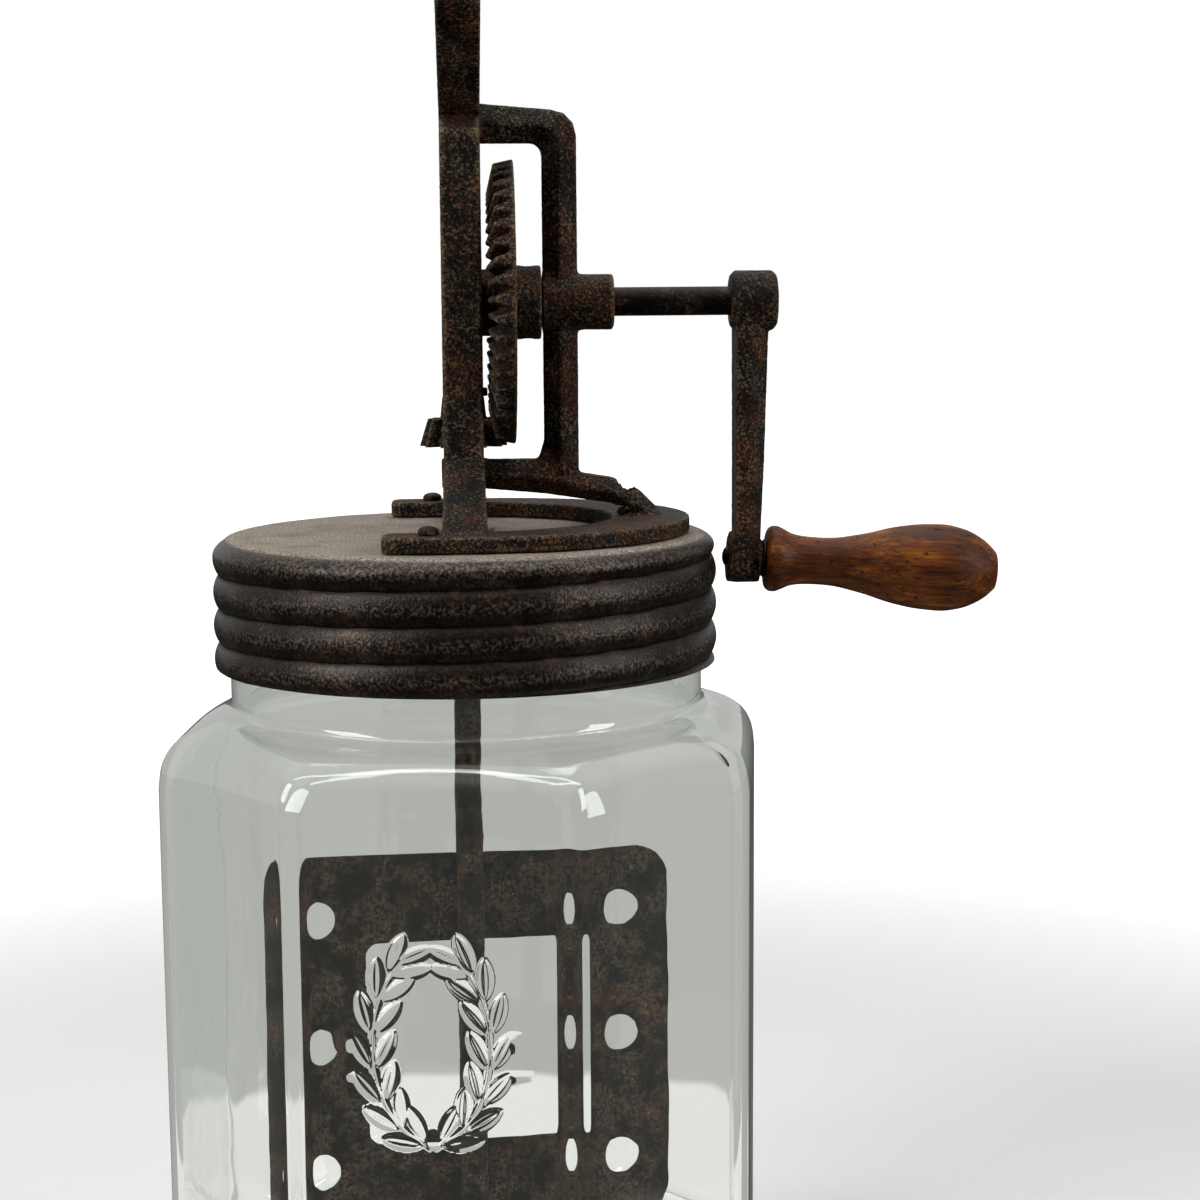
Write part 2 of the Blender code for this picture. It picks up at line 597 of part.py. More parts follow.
def side_arm_stations():
    """Outer edge, ridge and inner edge of the side arm, from the waist round to the bridge."""
    middle_x = (ARM_INNER_X + ARM_OUTER_X) / 2
    middle_z = (ARM_TOP_Z + ARM_UNDER_Z) / 2
    corner_top = ARM_TOP_Z - ARM_DROP
    big = ARM_OUTER_ROUND
    small = ARM_INNER_ROUND
    outer = arc((ARM_OUTER_X - big, corner_top - big), big, math.pi / 2, 0, 3)
    inner = arc((ARM_INNER_X - small, ARM_UNDER_Z - small), small, math.pi / 2, 0, 3)
    ridge_round = (ARM_OUTER_ROUND + ARM_INNER_ROUND) / 2
    ridge_z = middle_z - ARM_DROP / 2
    ridge = arc((middle_x - ridge_round, ridge_z - ridge_round), ridge_round, math.pi / 2, 0, 3)
    start = BAR_WIDTH / 4
    stations = [((start, ARM_TOP_Z), (start, middle_z), (start, ARM_UNDER_Z))]
    stations += list(zip(outer, ridge, inner))
    low = BRIDGE_TOP_Z + BRIDGE_FILLET
    stations.append(((ARM_OUTER_X, low), (middle_x, low), (ARM_INNER_X, low)))
    foot = (BRIDGE_TOP_Z + BRIDGE_UNDER_Z) / 2
    stations.append(((ARM_OUTER_X, foot), (middle_x, foot), (ARM_INNER_X - BRIDGE_FILLET / 2, foot + GAP)))
    return stations


def bridge_stations():
    """Top edge, ridge and lower edge of the bridge, which runs down into the base plate as a shoe."""
    shoe = SHOE_TOP_Z - PLATE_TOP_Z
    length = SHOE_END_X - ARM_OUTER_X
    tops = [(BAR_WIDTH / 4, BRIDGE_TOP_Z), (ARM_INNER_X, BRIDGE_TOP_Z), (ARM_OUTER_X, SHOE_TOP_Z)]
    tops += [(ARM_OUTER_X + length * along, SHOE_TOP_Z - shoe * down) for along, down in SHOE_SHARES]
    arch = (BRIDGE_UNDER_Z - PLATE_TOP_Z) * BRIDGE_ARCH_SHARE
    reach = tops[3][0] - BAR_WIDTH
    lows = [(x, BRIDGE_UNDER_Z - arch * max(x - BAR_WIDTH, 0) / reach) for x, _ in tops[:4]]
    buried = PLATE_TOP_Z - PLATE_THICKNESS / 2
    lows += [(tops[4][0], buried), (SHOE_END_X, buried - GAP)]
    return [(top, ((top[0] + low[0]) / 2, (top[1] + low[1]) / 2), low) for top, low in zip(tops, lows)]


def make_frame(iron):
    frame = add_piece("frame", prism(plate_outline(), PLATE_BOTTOM_Z, PLATE_TOP_Z), iron)
    half = BAR_WIDTH / 2
    sunk = PLATE_TOP_Z - PLATE_THICKNESS / 2
    upright = [(FOOT_HALF_SPACING, sunk), (BAR_HALF_SPACING, BRIDGE_TOP_Z),
               (BAR_HALF_SPACING, WAIST_BEND_Z), (WAIST_HALF_SPACING, WAIST_Z)]
    upright_widths = (BAR_FOOT_WIDTH, BAR_WIDTH, BAR_WIDTH, BAR_WIDTH)
    prong = [(WAIST_HALF_SPACING / 2, WAIST_BEND_Z), (FORK_HALF_SPACING, FORK_BEND_Z),
             (FORK_HALF_SPACING, TOP_GRIP_Z)]
    prong_widths = (BAR_WIDTH, FORK_WIDTH, FORK_WIDTH)
    for side, word in ((-1, "front"), (1, "back")):
        shape_with(frame, "UNION", f"{word}_upright_form", flat_bar(upright, upright_widths, side))
        shape_with(frame, "UNION", f"{word}_prong_form", flat_bar(prong, prong_widths, side))
        inner = side * FORK_INNER_Y
        outer = inner + side * BAR_THICKNESS
        eye = cylinder(FORK_EYE_RADIUS, inner, outer, ALONG_Y, centre=(0, 0, TOP_GRIP_Z))
        shape_with(frame, "UNION", f"{word}_eye_form", eye)
    waist_top = WAIST_Z + BAR_THICKNESS / 2
    waist_reach = WAIST_HALF_SPACING * 1.6
    waist = block((-half + GAP, -waist_reach, WAIST_BEND_Z - GAP), (half - GAP, waist_reach, waist_top))
    shape_with(frame, "UNION", "waist_form", waist)
    shape_with(frame, "UNION", "side_arm_form", ridged_bar(side_arm_stations(), GAP))
    shape_with(frame, "UNION", "bridge_form", ridged_bar(bridge_stations()))
    reach = BAR_HALF_SPACING
    low = CRANK_Z - CROSS_BAR_HEIGHT / 2
    cross = block((-half + GAP, -reach, low), (half - GAP, reach, low + CROSS_BAR_HEIGHT))
    shape_with(frame, "UNION", "cross_bar_form", cross)
    sill = block((-half + GAP, -reach, BRIDGE_UNDER_Z + GAP), (half - GAP, reach, BRIDGE_TOP_Z - GAP))
    shape_with(frame, "UNION", "sill_form", sill)
    rod_boss = cylinder(ROD_BOSS_RADIUS, BRIDGE_UNDER_Z - GAP, BRIDGE_TOP_Z + GAP)
    shape_with(frame, "UNION", "rod_boss_form", rod_boss)
    centre = (0, 0, CRANK_Z)
    cross_boss = cylinder(CROSS_BOSS_RADIUS, -half + 2 * GAP, CROSS_BOSS_END_X, ALONG_X, centre=centre)
    shape_with(frame, "UNION", "cross_boss_form", cross_boss)
    bearing = cylinder(BEARING_BOSS_RADIUS, ARM_INNER_X - GAP, BEARING_BOSS_END_X, ALONG_X, centre=centre)
    shape_with(frame, "UNION", "bearing_boss_form", bearing)
    left = -half - CUT_OVERRUN
    right = BEARING_BOSS_END_X + CUT_OVERRUN
    bore = cylinder(SHAFT_RADIUS + RUNNING_GAP, left, right, ALONG_X, centre=centre)
    shape_with(frame, "DIFFERENCE", "shaft_bore", bore)
    rod_bore = cylinder(ROD_RADIUS + RUNNING_GAP, BRIDGE_UNDER_Z - CUT_OVERRUN, BRIDGE_TOP_Z + CUT_OVERRUN)
    shape_with(frame, "DIFFERENCE", "rod_bore", rod_bore)
    over = FORK_HALF_SPACING + BAR_THICKNESS
    grip_bore = cylinder(TOP_GRIP_ROD_RADIUS + GAP, -over, over, ALONG_Y, SMALL_STEPS, (0, 0, TOP_GRIP_Z))
    shape_with(frame, "DIFFERENCE", "grip_rod_bore", grip_bore)
    low = PLATE_BOTTOM_Z - CUT_OVERRUN
    high = PLATE_TOP_Z + CUT_OVERRUN
    for number, (x, y) in enumerate(SCREW_PLACES, 1):
        hole = cylinder(SCREW_RADIUS + GAP, low, high, steps=SMALL_STEPS, centre=(x, y, 0))
        shape_with(frame, "DIFFERENCE", f"frame_screw_hole_{number}", hole)
    clearance = SCREW_HEAD_RADIUS + 2 * GAP
    x, y = SCREW_PLACES[2]
    seat = cylinder(clearance, PLATE_TOP_Z, SHOE_TOP_Z, steps=SMALL_STEPS, centre=(x, y, 0))
    shape_with(frame, "DIFFERENCE", "shoe_screw_seat", seat)
    return frame


def add_nut(name, radius, hole, start, end, material, turn=None, centre=(0, 0, 0)):
    nut = add_piece(name, cylinder(radius, start, end, turn, NUT_SIDES, centre), material)
    bore = cylinder(hole, start - CUT_OVERRUN, end + CUT_OVERRUN, turn, SMALL_STEPS, centre)
    shape_with(nut, "DIFFERENCE", f"{name}_bore", bore)


def make_frame_fasteners(steel):
    seat = PLATE_TOP_Z + GAP
    under = LID_TOP_Z - LID_SHEET - GAP
    foot = under - NUT_THICKNESS
    head = SCREW_HEAD_RADIUS
    for number, (x, y) in enumerate(SCREW_PLACES, 1):
        top = seat + SCREW_HEAD_HEIGHT
        profile = [(head * 0.7, top), (head, top - SCREW_HEAD_HEIGHT * 0.4), (head, seat),
                   (SCREW_RADIUS, seat), (SCREW_RADIUS, foot - GAP)]
        bm = turned(profile, SMALL_STEPS)
        bmesh.ops.translate(bm, vec=(x, y, 0), verts=bm.verts)
        screw = add_piece(f"frame_screw_{number}", bm, steel)
        low = (x - head - CUT_OVERRUN, y - SCREW_SLOT_WIDTH / 2, top - SCREW_SLOT_DEPTH)
        high = (x + head + CUT_OVERRUN, y + SCREW_SLOT_WIDTH / 2, top + CUT_OVERRUN)
        shape_with(screw, "DIFFERENCE", f"screw_slot_{number}", block(low, high))
        add_nut(f"frame_nut_{number}", NUT_RADIUS, SCREW_RADIUS + GAP, foot, under, steel, centre=(x, y, 0))


def involute(angle):
    return math.tan(angle) - angle


def tooth_profile(teeth, pitch_radius, mate_radius, addendum, dedendum, points):
    """Half a tooth as (height over the pitch cone, half angle), by the virtual spur gear of the cone."""
    cone = math.atan2(pitch_radius, mate_radius)
    virtual = pitch_radius / math.cos(cone)
    base = virtual * math.cos(PRESSURE_ANGLE)
    thickness = math.pi * pitch_radius / teeth - BACKLASH / 2
    half = []
    for step in range(points):
        height = -dedendum + (addendum + dedendum) * step / (points - 1)
        at = math.acos(min(1, base / (virtual + height)))
        spread = thickness / 2 / virtual + involute(PRESSURE_ANGLE) - involute(at)
        half.append((height, spread / math.cos(cone)))
    return half


def bevel_ring(teeth, pitch_radius, mate_radius, half_tooth, scale, start_angle):
    """One ring of toothed points as (axial, radial, angle), measured from the cones' common apex."""
    cone = math.atan2(pitch_radius, mate_radius)
    outline = [(height, -spread) for height, spread in half_tooth]
    outline += [(height, spread) for height, spread in reversed(half_tooth)]
    ring = []
    for tooth in range(teeth):
        centre = start_angle + FULL_TURN * tooth / teeth
        for height, spread in outline:
            size = scale(height)
            axial = size * (mate_radius - height * math.sin(cone))
            radial = size * (pitch_radius + height * math.cos(cone))
            ring.append((axial, radial, centre + spread))
    return ring


def flat_ring(like, axial, radial):
    return [(axial, radial, angle) for _, _, angle in like]


def make_gear(iron, crank_axis):
    mate = PINION_PITCH_RADIUS
    half = tooth_profile(GEAR_TEETH, GEAR_PITCH_RADIUS, mate, GEAR_ADDENDUM, GEAR_DEDENDUM, 2)
    depth = GEAR_ADDENDUM + GEAR_DEDENDUM
    start = -math.pi / 2 + math.pi / GEAR_TEETH
    toe = bevel_ring(GEAR_TEETH, GEAR_PITCH_RADIUS, mate, half, lambda _: GEAR_TOE_SHARE, start)
    heel = bevel_ring(
        GEAR_TEETH, GEAR_PITCH_RADIUS, mate, half,
        lambda height: 1 + GEAR_HEEL_FLARE_SHARE * (GEAR_ADDENDUM - height) / depth, start,
    )
    web_radius = min(radial for _, radial, _ in toe) - GAP * 2
    rings = [flat_ring(toe, GEAR_WEB_X, web_radius), toe, heel, flat_ring(toe, GEAR_BACK_X, GEAR_RIM_RADIUS)]
    placed = [[(x, r * math.cos(a), r * math.sin(a)) for x, r, a in ring] for ring in rings]
    gear = add_piece("drive_gear", lofted(placed), iron, crank_axis)
    hub_start = GEAR_HUB_START_X
    hub_end = GEAR_HUB_END_X
    shape_with(gear, "UNION", "gear_hub_form", cylinder(GEAR_HUB_RADIUS, hub_start, hub_end, ALONG_X))
    ring_radius = (GEAR_HUB_RADIUS + web_radius) / 2
    for number in range(GEAR_HOLES):
        angle = FULL_TURN * number / GEAR_HOLES + math.pi / 2
        place = (0, ring_radius * math.cos(angle), ring_radius * math.sin(angle))
        hole = cylinder(GEAR_HOLE_RADIUS, hub_start, hub_end, ALONG_X, centre=place)
        shape_with(gear, "DIFFERENCE", f"gear_hole_{number + 1}", hole)
    bore = cylinder(SHAFT_RADIUS + GAP, hub_start - CUT_OVERRUN, hub_end + CUT_OVERRUN, ALONG_X)
    shape_with(gear, "DIFFERENCE", "gear_bore", bore)
    pin_x = (GEAR_BACK_X + hub_end) / 2
    reach = GEAR_HUB_RADIUS - GAP
    over = GEAR_HUB_RADIUS + CUT_OVERRUN
    pin_hole = cylinder(CROSS_PIN_RADIUS + GAP, -over, over, steps=SMALL_STEPS, centre=(pin_x, 0, 0))
    shape_with(gear, "DIFFERENCE", "gear_pin_hole", pin_hole)
    pin = cylinder(CROSS_PIN_RADIUS, -reach, reach, steps=SMALL_STEPS, centre=(pin_x, 0, 0))
    add_piece("gear_pin", pin, iron, crank_axis)
    return pin_x


def make_shaft(steel, crank_axis, pin_x):
    round_bar = cylinder(SHAFT_RADIUS, SHAFT_START_X, SHAFT_END_X, ALONG_X)
    shaft = add_piece("crank_shaft", round_bar, steel, crank_axis)
    over = SHAFT_RADIUS + CUT_OVERRUN
    hole = cylinder(CROSS_PIN_RADIUS + GAP, -over, over, steps=SMALL_STEPS, centre=(pin_x, 0, 0))
    shape_with(shaft, "DIFFERENCE", "shaft_pin_hole", hole)


def crank_arm_ring(z, width, thickness):
    """A six sided section: flat inner face, narrow front and back edges, and bevels to an outer flat."""
    left = CRANK_ARM_LEFT_X
    edge = left + thickness * CRANK_ARM_EDGE_SHARE
    right = left + thickness
    half = width / 2
    flat = half * CRANK_ARM_RIDGE_SHARE
    section = ((left, -half), (edge, -half), (right, -flat), (right, flat), (edge, half), (left, half))
    return [(x, y, z) for x, y in section]


def make_crank_arm(iron, crank_axis, grip_axis):
    hub = CRANK_HUB_RADIUS
    corner = CRANK_HUB_ROUND
    profile = [(hub - corner, CRANK_HUB_START_X), (hub, CRANK_HUB_START_X + corner),
               (hub, CRANK_HUB_END_X - corner), (hub - corner, CRANK_HUB_END_X)]
    arm = add_piece("crank_arm", turned(profile, turn=ALONG_X), iron, crank_axis)
    eye = CRANK_EYE_RADIUS
    thin = CRANK_ARM_EYE_THICKNESS
    stations = [(-SHAFT_RADIUS, CRANK_ARM_TOP_WIDTH, CRANK_ARM_TOP_THICKNESS),
                (-CRANK_LENGTH * 0.6, CRANK_ARM_TOP_WIDTH, (CRANK_ARM_TOP_THICKNESS + thin) / 2),
                (-CRANK_LENGTH + eye / 2, 2 * eye, thin)]
    for a in (0.0, 0.16, 0.3, 0.42, 0.475):
        angle = a * math.pi
        stations.append((-CRANK_LENGTH - eye * math.sin(angle), 2 * eye * math.cos(angle), thin))
    shape_with(arm, "UNION", "arm_blade_form", lofted([crank_arm_ring(*station) for station in stations]))
    place = grip_axis.matrix_local.copy()
    pad = cylinder(eye - GAP, 0, CRANK_PAD_THICKNESS + CRANK_ARM_EYE_THICKNESS / 4, place @ ALONG_X)
    shape_with(arm, "UNION", "pin_pad_form", pad)
    outer_end = GRIP_START - GRIP_WASHER_THICKNESS - 2 * GAP
    boss = cylinder(GRIP_WASHER_RADIUS, outer_end - CRANK_ARM_EYE_THICKNESS / 2, outer_end, place @ ALONG_X)
    shape_with(arm, "UNION", "grip_boss_form", boss)
    low = CRANK_HUB_START_X - CUT_OVERRUN
    bore = cylinder(SHAFT_RADIUS + GAP, low, CRANK_HUB_END_X + CUT_OVERRUN, ALONG_X)
    shape_with(arm, "DIFFERENCE", "arm_bore", bore)
    over = outer_end + CUT_OVERRUN
    pin_bore = cylinder(GRIP_PIN_RADIUS + GAP, -CUT_OVERRUN, over, place @ ALONG_X, SMALL_STEPS)
    shape_with(arm, "DIFFERENCE", "arm_pin_bore", pin_bore)


def make_crank_grip(wood, iron, grip_axis):
    """The turned grip and what holds it, about the axis of its pin."""
    end = GRIP_START + GRIP_LENGTH
    bore = GRIP_PIN_RADIUS + RUNNING_GAP
    floor = end - GRIP_RECESS_DEPTH
    profile = [(GRIP_RADIUS * wide, GRIP_START + GRIP_LENGTH * along) for along, wide in CRANK_GRIP_SHARES]
    profile += [(GRIP_RECESS_RADIUS, end), (GRIP_RECESS_RADIUS, floor), (bore, floor), (bore, GRIP_START)]
    add_piece("crank_grip", turned(profile, hollow=True, turn=ALONG_X), wood, grip_axis)
    washer_end = floor + GAP + GRIP_WASHER_THICKNESS
    tail = washer_end + GAP
    head = GRIP_PIN_HEAD_RADIUS
    thick = GRIP_PIN_HEAD_THICKNESS
    profile = [(head * 0.8, -GAP - thick), (head, -GAP - thick / 2), (head, -GAP), (GRIP_PIN_RADIUS, -GAP),
               (GRIP_PIN_RADIUS, tail), (head, tail), (head * 0.7, tail + thick)]
    add_piece("grip_pin", turned(profile, SMALL_STEPS, turn=ALONG_X), iron, grip_axis)
    loose = GRIP_PIN_RADIUS + GAP
    inner_start = GRIP_START - GAP - GRIP_WASHER_THICKNESS
    inner = tube(loose, GRIP_WASHER_RADIUS, inner_start, GRIP_START - GAP, ALONG_X, SMALL_STEPS)
    add_piece("grip_washer_inner", inner, iron, grip_axis)
    outer = tube(loose, GRIP_RECESS_RADIUS - GAP, floor + GAP, washer_end, ALONG_X, SMALL_STEPS)
    add_piece("grip_washer_outer", outer, iron, grip_axis)


def make_pinion(iron, steel, dasher_axis):
    mate = GEAR_PITCH_RADIUS
    half = tooth_profile(PINION_TEETH, PINION_PITCH_RADIUS, mate, PINION_ADDENDUM, PINION_DEDENDUM, 5)
    cone = math.atan2(PINION_PITCH_RADIUS, mate)
    rings = []
    for z in (PINION_HEEL_Z, PINION_TOE_Z):
        distance = CRANK_Z - z
        ring = bevel_ring(
            PINION_TEETH, PINION_PITCH_RADIUS, mate, half,
            lambda height, distance=distance: distance / (mate - height * math.sin(cone)), -DASHER_TURN,
        )
        rings.append([(r * math.cos(a), r * math.sin(a), CRANK_Z - axial) for axial, r, a in ring])
    pinion = add_piece("pinion", lofted(rings), iron, dasher_axis)
    root = PINION_HUB_FOOT_RADIUS
    tip = (PINION_HUB_TOP_RADIUS, PINION_HUB_TOP_Z)
    hub = turned([(root, PINION_TOE_Z - CUT_OVERRUN), (root, PINION_TOE_Z), tip])
    shape_with(pinion, "UNION", "pinion_hub_form", hub)
    bore = cylinder(ROD_RADIUS + GAP, PINION_HEEL_Z - CUT_OVERRUN, PINION_HUB_TOP_Z + CUT_OVERRUN)
    shape_with(pinion, "DIFFERENCE", "pinion_bore", bore)
    reach = PINION_HUB_TOP_RADIUS + PINION_PIN_PROUD
    turn = Matrix.Translation((0, 0, PINION_PIN_Z)) @ Matrix.Rotation(-DASHER_TURN, 4, "Z") @ ALONG_X
    pin_hole = cylinder(CROSS_PIN_RADIUS + GAP, -reach - CUT_OVERRUN, reach + CUT_OVERRUN, turn, SMALL_STEPS)
    shape_with(pinion, "DIFFERENCE", "pinion_pin_hole", pin_hole)
    pin = cylinder(CROSS_PIN_RADIUS, -PINION_HUB_TOP_RADIUS, reach, turn, SMALL_STEPS)
    add_piece("pinion_pin", pin, steel, dasher_axis)
    collar = tube(ROD_RADIUS + GAP, COLLAR_RADIUS, BRIDGE_TOP_Z + 2 * GAP, PINION_HEEL_Z - GAP)
    add_piece("thrust_collar", collar, steel, dasher_axis)
    return turn


def make_dasher(steel, sheet, dasher_axis, pin_turn):
    """The rod and the punched plate that is riveted behind it."""
    rod = add_piece("dasher_rod", cylinder(ROD_RADIUS, ROD_BOTTOM_Z, ROD_TOP_Z), steel, dasher_axis)
    over = ROD_RADIUS + CUT_OVERRUN
    pin_hole = cylinder(CROSS_PIN_RADIUS + GAP, -over, over, pin_turn, SMALL_STEPS)
    shape_with(rod, "DIFFERENCE", "rod_pin_hole", pin_hole)
    half = PADDLE_WIDTH / 2
    corner = PADDLE_CORNER_ROUND
    outline = []
    top = PADDLE_TOP_Z
    bottom = PADDLE_BOTTOM_Z
    corners = ((half, top, 0), (-half, top, 1), (-half, bottom, 2), (half, bottom, 3))
    for x, z, quarter in corners:
        centre = (x - math.copysign(corner, x), z - math.copysign(corner, z - PADDLE_WINDOW_BOTTOM_Z))
        outline += arc(centre, corner, quarter * math.pi / 2, (quarter + 1) * math.pi / 2)
    near = PADDLE_Y - PADDLE_THICKNESS / 2
    far = near + PADDLE_THICKNESS
    upright = Matrix.Rotation(math.pi / 2, 4, "X")
    plate = prism(outline, -far, -near)
    bmesh.ops.transform(plate, matrix=upright, verts=plate.verts)
    paddle = add_piece("paddle", plate, sheet, dasher_axis)
    half_window = half - PADDLE_SIDE_WIDTH
    low = (-half_window, near - CUT_OVERRUN, PADDLE_WINDOW_BOTTOM_Z)
    high = (half_window, far + CUT_OVERRUN, PADDLE_WINDOW_TOP_Z)
    window = block(low, high)
    shape_with(paddle, "DIFFERENCE", "paddle_window", window)
    lowest = bottom + PADDLE_HOLE_END_INSET
    spacing = (PADDLE_HEIGHT - 2 * PADDLE_HOLE_END_INSET) / (PADDLE_HOLE_ROWS - 1)
    for row in range(PADDLE_HOLE_ROWS):
        z = lowest + spacing * row
        for side, word in ((-1, "left"), (1, "right")):
            place = (side * (half - PADDLE_SIDE_WIDTH / 2), 0, z)
            hole = cylinder(PADDLE_HOLE_RADIUS, low[1], high[1], ALONG_Y, centre=place)
            shape_with(paddle, "DIFFERENCE", f"paddle_{word}_hole_{row + 1}", hole)
    head = PADDLE_RIVET_HEAD_RADIUS
    shank = PADDLE_RIVET_RADIUS
    front = -ROD_RADIUS - GAP
    back = far + GAP
    start = front - CUT_OVERRUN
    end = back + CUT_OVERRUN
    for word, z in (("upper", PADDLE_RIVET_UPPER_Z), ("lower", PADDLE_RIVET_LOWER_Z)):
        place = (0, 0, z)
        for piece in (rod, paddle):
            hole = cylinder(shank + GAP, start, end, ALONG_Y, SMALL_STEPS, place)
            shape_with(piece, "DIFFERENCE", f"{piece.name}_{word}_rivet_hole", hole)
        profile = [(head * 0.6, front - PADDLE_RIVET_HEAD), (head, front), (shank, front),
                   (shank, back), (head, back), (head * 0.6, back + PADDLE_RIVET_HEAD)]
        bm = turned(profile, SMALL_STEPS, turn=ALONG_Y)
        bmesh.ops.translate(bm, vec=place, verts=bm.verts)
        add_piece(f"paddle_rivet_{word}", bm, steel, dasher_axis)


def make_top_grip(wood, steel, grip_axis):
    half = FORK_INNER_Y - GAP
    length = 2 * half
    bore = TOP_GRIP_ROD_RADIUS + RUNNING_GAP
    near = [(TOP_GRIP_RADIUS * wide, -half + length * along) for along, wide in TOP_GRIP_SHARES]
    far = [(radius, -height) for radius, height in reversed(near[:-1])]
    profile = near + far + [(bore, half), (bore, -half)]
    add_piece("top_grip", turned(profile, hollow=True, turn=ALONG_Y), wood, grip_axis)
    seat = FORK_HALF_SPACING + BAR_THICKNESS / 2 + GAP
    end = seat + TOP_NUT_THICKNESS
    tip = end + TOP_ROD_PROUD
    place = grip_axis.location
    rod = cylinder(TOP_GRIP_ROD_RADIUS, -tip, tip, ALONG_Y, SMALL_STEPS, place)
    add_piece("top_grip_rod", rod, steel)
    hole = TOP_GRIP_ROD_RADIUS + GAP
    for word, low, high in (("front", -end, -seat), ("back", seat, end)):
        add_nut(f"top_grip_nut_{word}", TOP_NUT_RADIUS, hole, low, high, steel, ALONG_Y, place)


def main():
    clear_scene()
    glass = finish("glass", (0.80, 0.86, 0.83), 0.03, alpha=0.35)
    lid_steel = finish("lid steel", (0.105, 0.072, 0.055), 0.55, 0.6)
    iron = finish("cast iron", (0.035, 0.026, 0.020), 0.6, 0.5)
    steel = finish("dark steel", (0.060, 0.048, 0.040), 0.45, 0.8)
    sheet = finish("paddle steel", (0.080, 0.060, 0.045), 0.6, 0.5)
    wood = finish("turned wood", (0.30, 0.13, 0.05), 0.42)
    rubber = finish("seal rubber", (0.30, 0.10, 0.07), 0.8)
    brass = finish("bush brass", (0.30, 0.20, 0.08), 0.4, 0.9)
    crank_axis = add_axis("crank_axis", (0, 0, CRANK_Z))
    pin_place = (CRANK_ARM_PIN_X, 0, -CRANK_LENGTH)
    grip_axis = add_axis("crank_grip_axis", pin_place, crank_axis, (0, GRIP_DROOP, 0))
    dasher_axis = add_axis("dasher_axis", (0, 0, 0), rotation=(0, 0, DASHER_TURN))
    top_axis = add_axis("top_grip_axis", (0, 0, TOP_GRIP_Z))
    bpy.context.view_layer.update()
    make_jar(glass)
    make_lid(lid_steel)
    make_seal_and_bush(rubber, brass)
    make_frame(iron)
    make_frame_fasteners(steel)
    gear_pin_x = make_gear(iron, crank_axis)
    make_shaft(steel, crank_axis, gear_pin_x)
    make_crank_arm(iron, crank_axis, grip_axis)
    make_crank_grip(wood, steel, grip_axis)
    pin_turn = make_pinion(iron, steel, dasher_axis)
    make_dasher(steel, sheet, dasher_axis, pin_turn)
    make_top_grip(wood, steel, top_axis)


main()
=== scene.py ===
"""Looks of a hand cranked glass butter churn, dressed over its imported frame.

Metres, +Z up, +X towards the crank, -Y towards the viewer.
"""

import json
import math

import bmesh
import bpy
import numpy as np
from mathutils import Matrix, Vector, noise


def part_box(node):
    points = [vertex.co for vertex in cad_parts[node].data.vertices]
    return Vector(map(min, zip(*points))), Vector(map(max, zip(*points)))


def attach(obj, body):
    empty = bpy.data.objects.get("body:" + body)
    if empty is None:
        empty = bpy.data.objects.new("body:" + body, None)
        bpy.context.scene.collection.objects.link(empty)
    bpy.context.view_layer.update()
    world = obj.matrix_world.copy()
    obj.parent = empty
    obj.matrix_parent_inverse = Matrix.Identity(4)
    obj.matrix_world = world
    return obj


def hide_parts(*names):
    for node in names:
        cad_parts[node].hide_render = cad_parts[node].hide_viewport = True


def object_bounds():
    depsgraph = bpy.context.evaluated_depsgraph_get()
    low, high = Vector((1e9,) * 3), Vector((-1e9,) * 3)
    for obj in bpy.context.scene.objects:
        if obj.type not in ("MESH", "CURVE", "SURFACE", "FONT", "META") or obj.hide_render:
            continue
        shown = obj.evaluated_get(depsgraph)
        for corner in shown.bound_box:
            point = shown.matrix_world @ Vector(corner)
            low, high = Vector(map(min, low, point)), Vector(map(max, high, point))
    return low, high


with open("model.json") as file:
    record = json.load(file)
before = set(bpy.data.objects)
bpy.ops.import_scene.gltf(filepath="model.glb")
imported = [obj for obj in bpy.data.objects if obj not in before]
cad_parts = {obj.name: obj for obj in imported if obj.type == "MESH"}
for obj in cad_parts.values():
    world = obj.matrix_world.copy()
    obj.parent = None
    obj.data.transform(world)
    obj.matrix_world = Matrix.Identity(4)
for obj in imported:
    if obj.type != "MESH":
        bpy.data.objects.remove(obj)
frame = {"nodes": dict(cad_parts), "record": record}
CAD_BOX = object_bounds()
RECORD = frame["record"]
BODY_OF = {node: body for body, nodes in RECORD["behaviour"]["bodies"].items() for node in nodes}
JOINTS = {joint["name"]: joint for joint in RECORD["behaviour"]["joints"]}

# Glass jar: an octagon of wide and narrow faces under a rounded shoulder, with a round neck
NECK_RADIUS = 0.0756
NECK_THREAD_HEIGHT = 0.0013
JAR_HALF_WIDTH = 0.0920
JAR_WIDE_FACE = 0.0868
JAR_FOOT_TAPER = 0.0006
JAR_CORNER_ROUND = 0.007
JAR_INNER_CORNER_ROUND = 0.016
JAR_TURN = math.radians(-7.5)
JAR_WALL = 0.004
JAR_FLOOR = 0.007
JAR_FLOOR_ROUND = 0.006
JAR_FOOT_ROUND = 0.004
JAR_NECK_HEIGHT = 0.047
JAR_SHOULDER_HEIGHT = 0.024
JAR_MOUTH_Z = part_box("glass_jar")[1].z
JAR_NECK_Z = JAR_MOUTH_Z - JAR_NECK_HEIGHT
JAR_SHOULDER_Z = JAR_NECK_Z - JAR_SHOULDER_HEIGHT
NECK_THREAD_DEEP = 0.0305
NECK_THREAD_SHALLOW = 0.0035
NECK_THREAD_START_Z = JAR_MOUTH_Z - NECK_THREAD_DEEP
NECK_THREAD_END_Z = JAR_MOUTH_Z - NECK_THREAD_SHALLOW
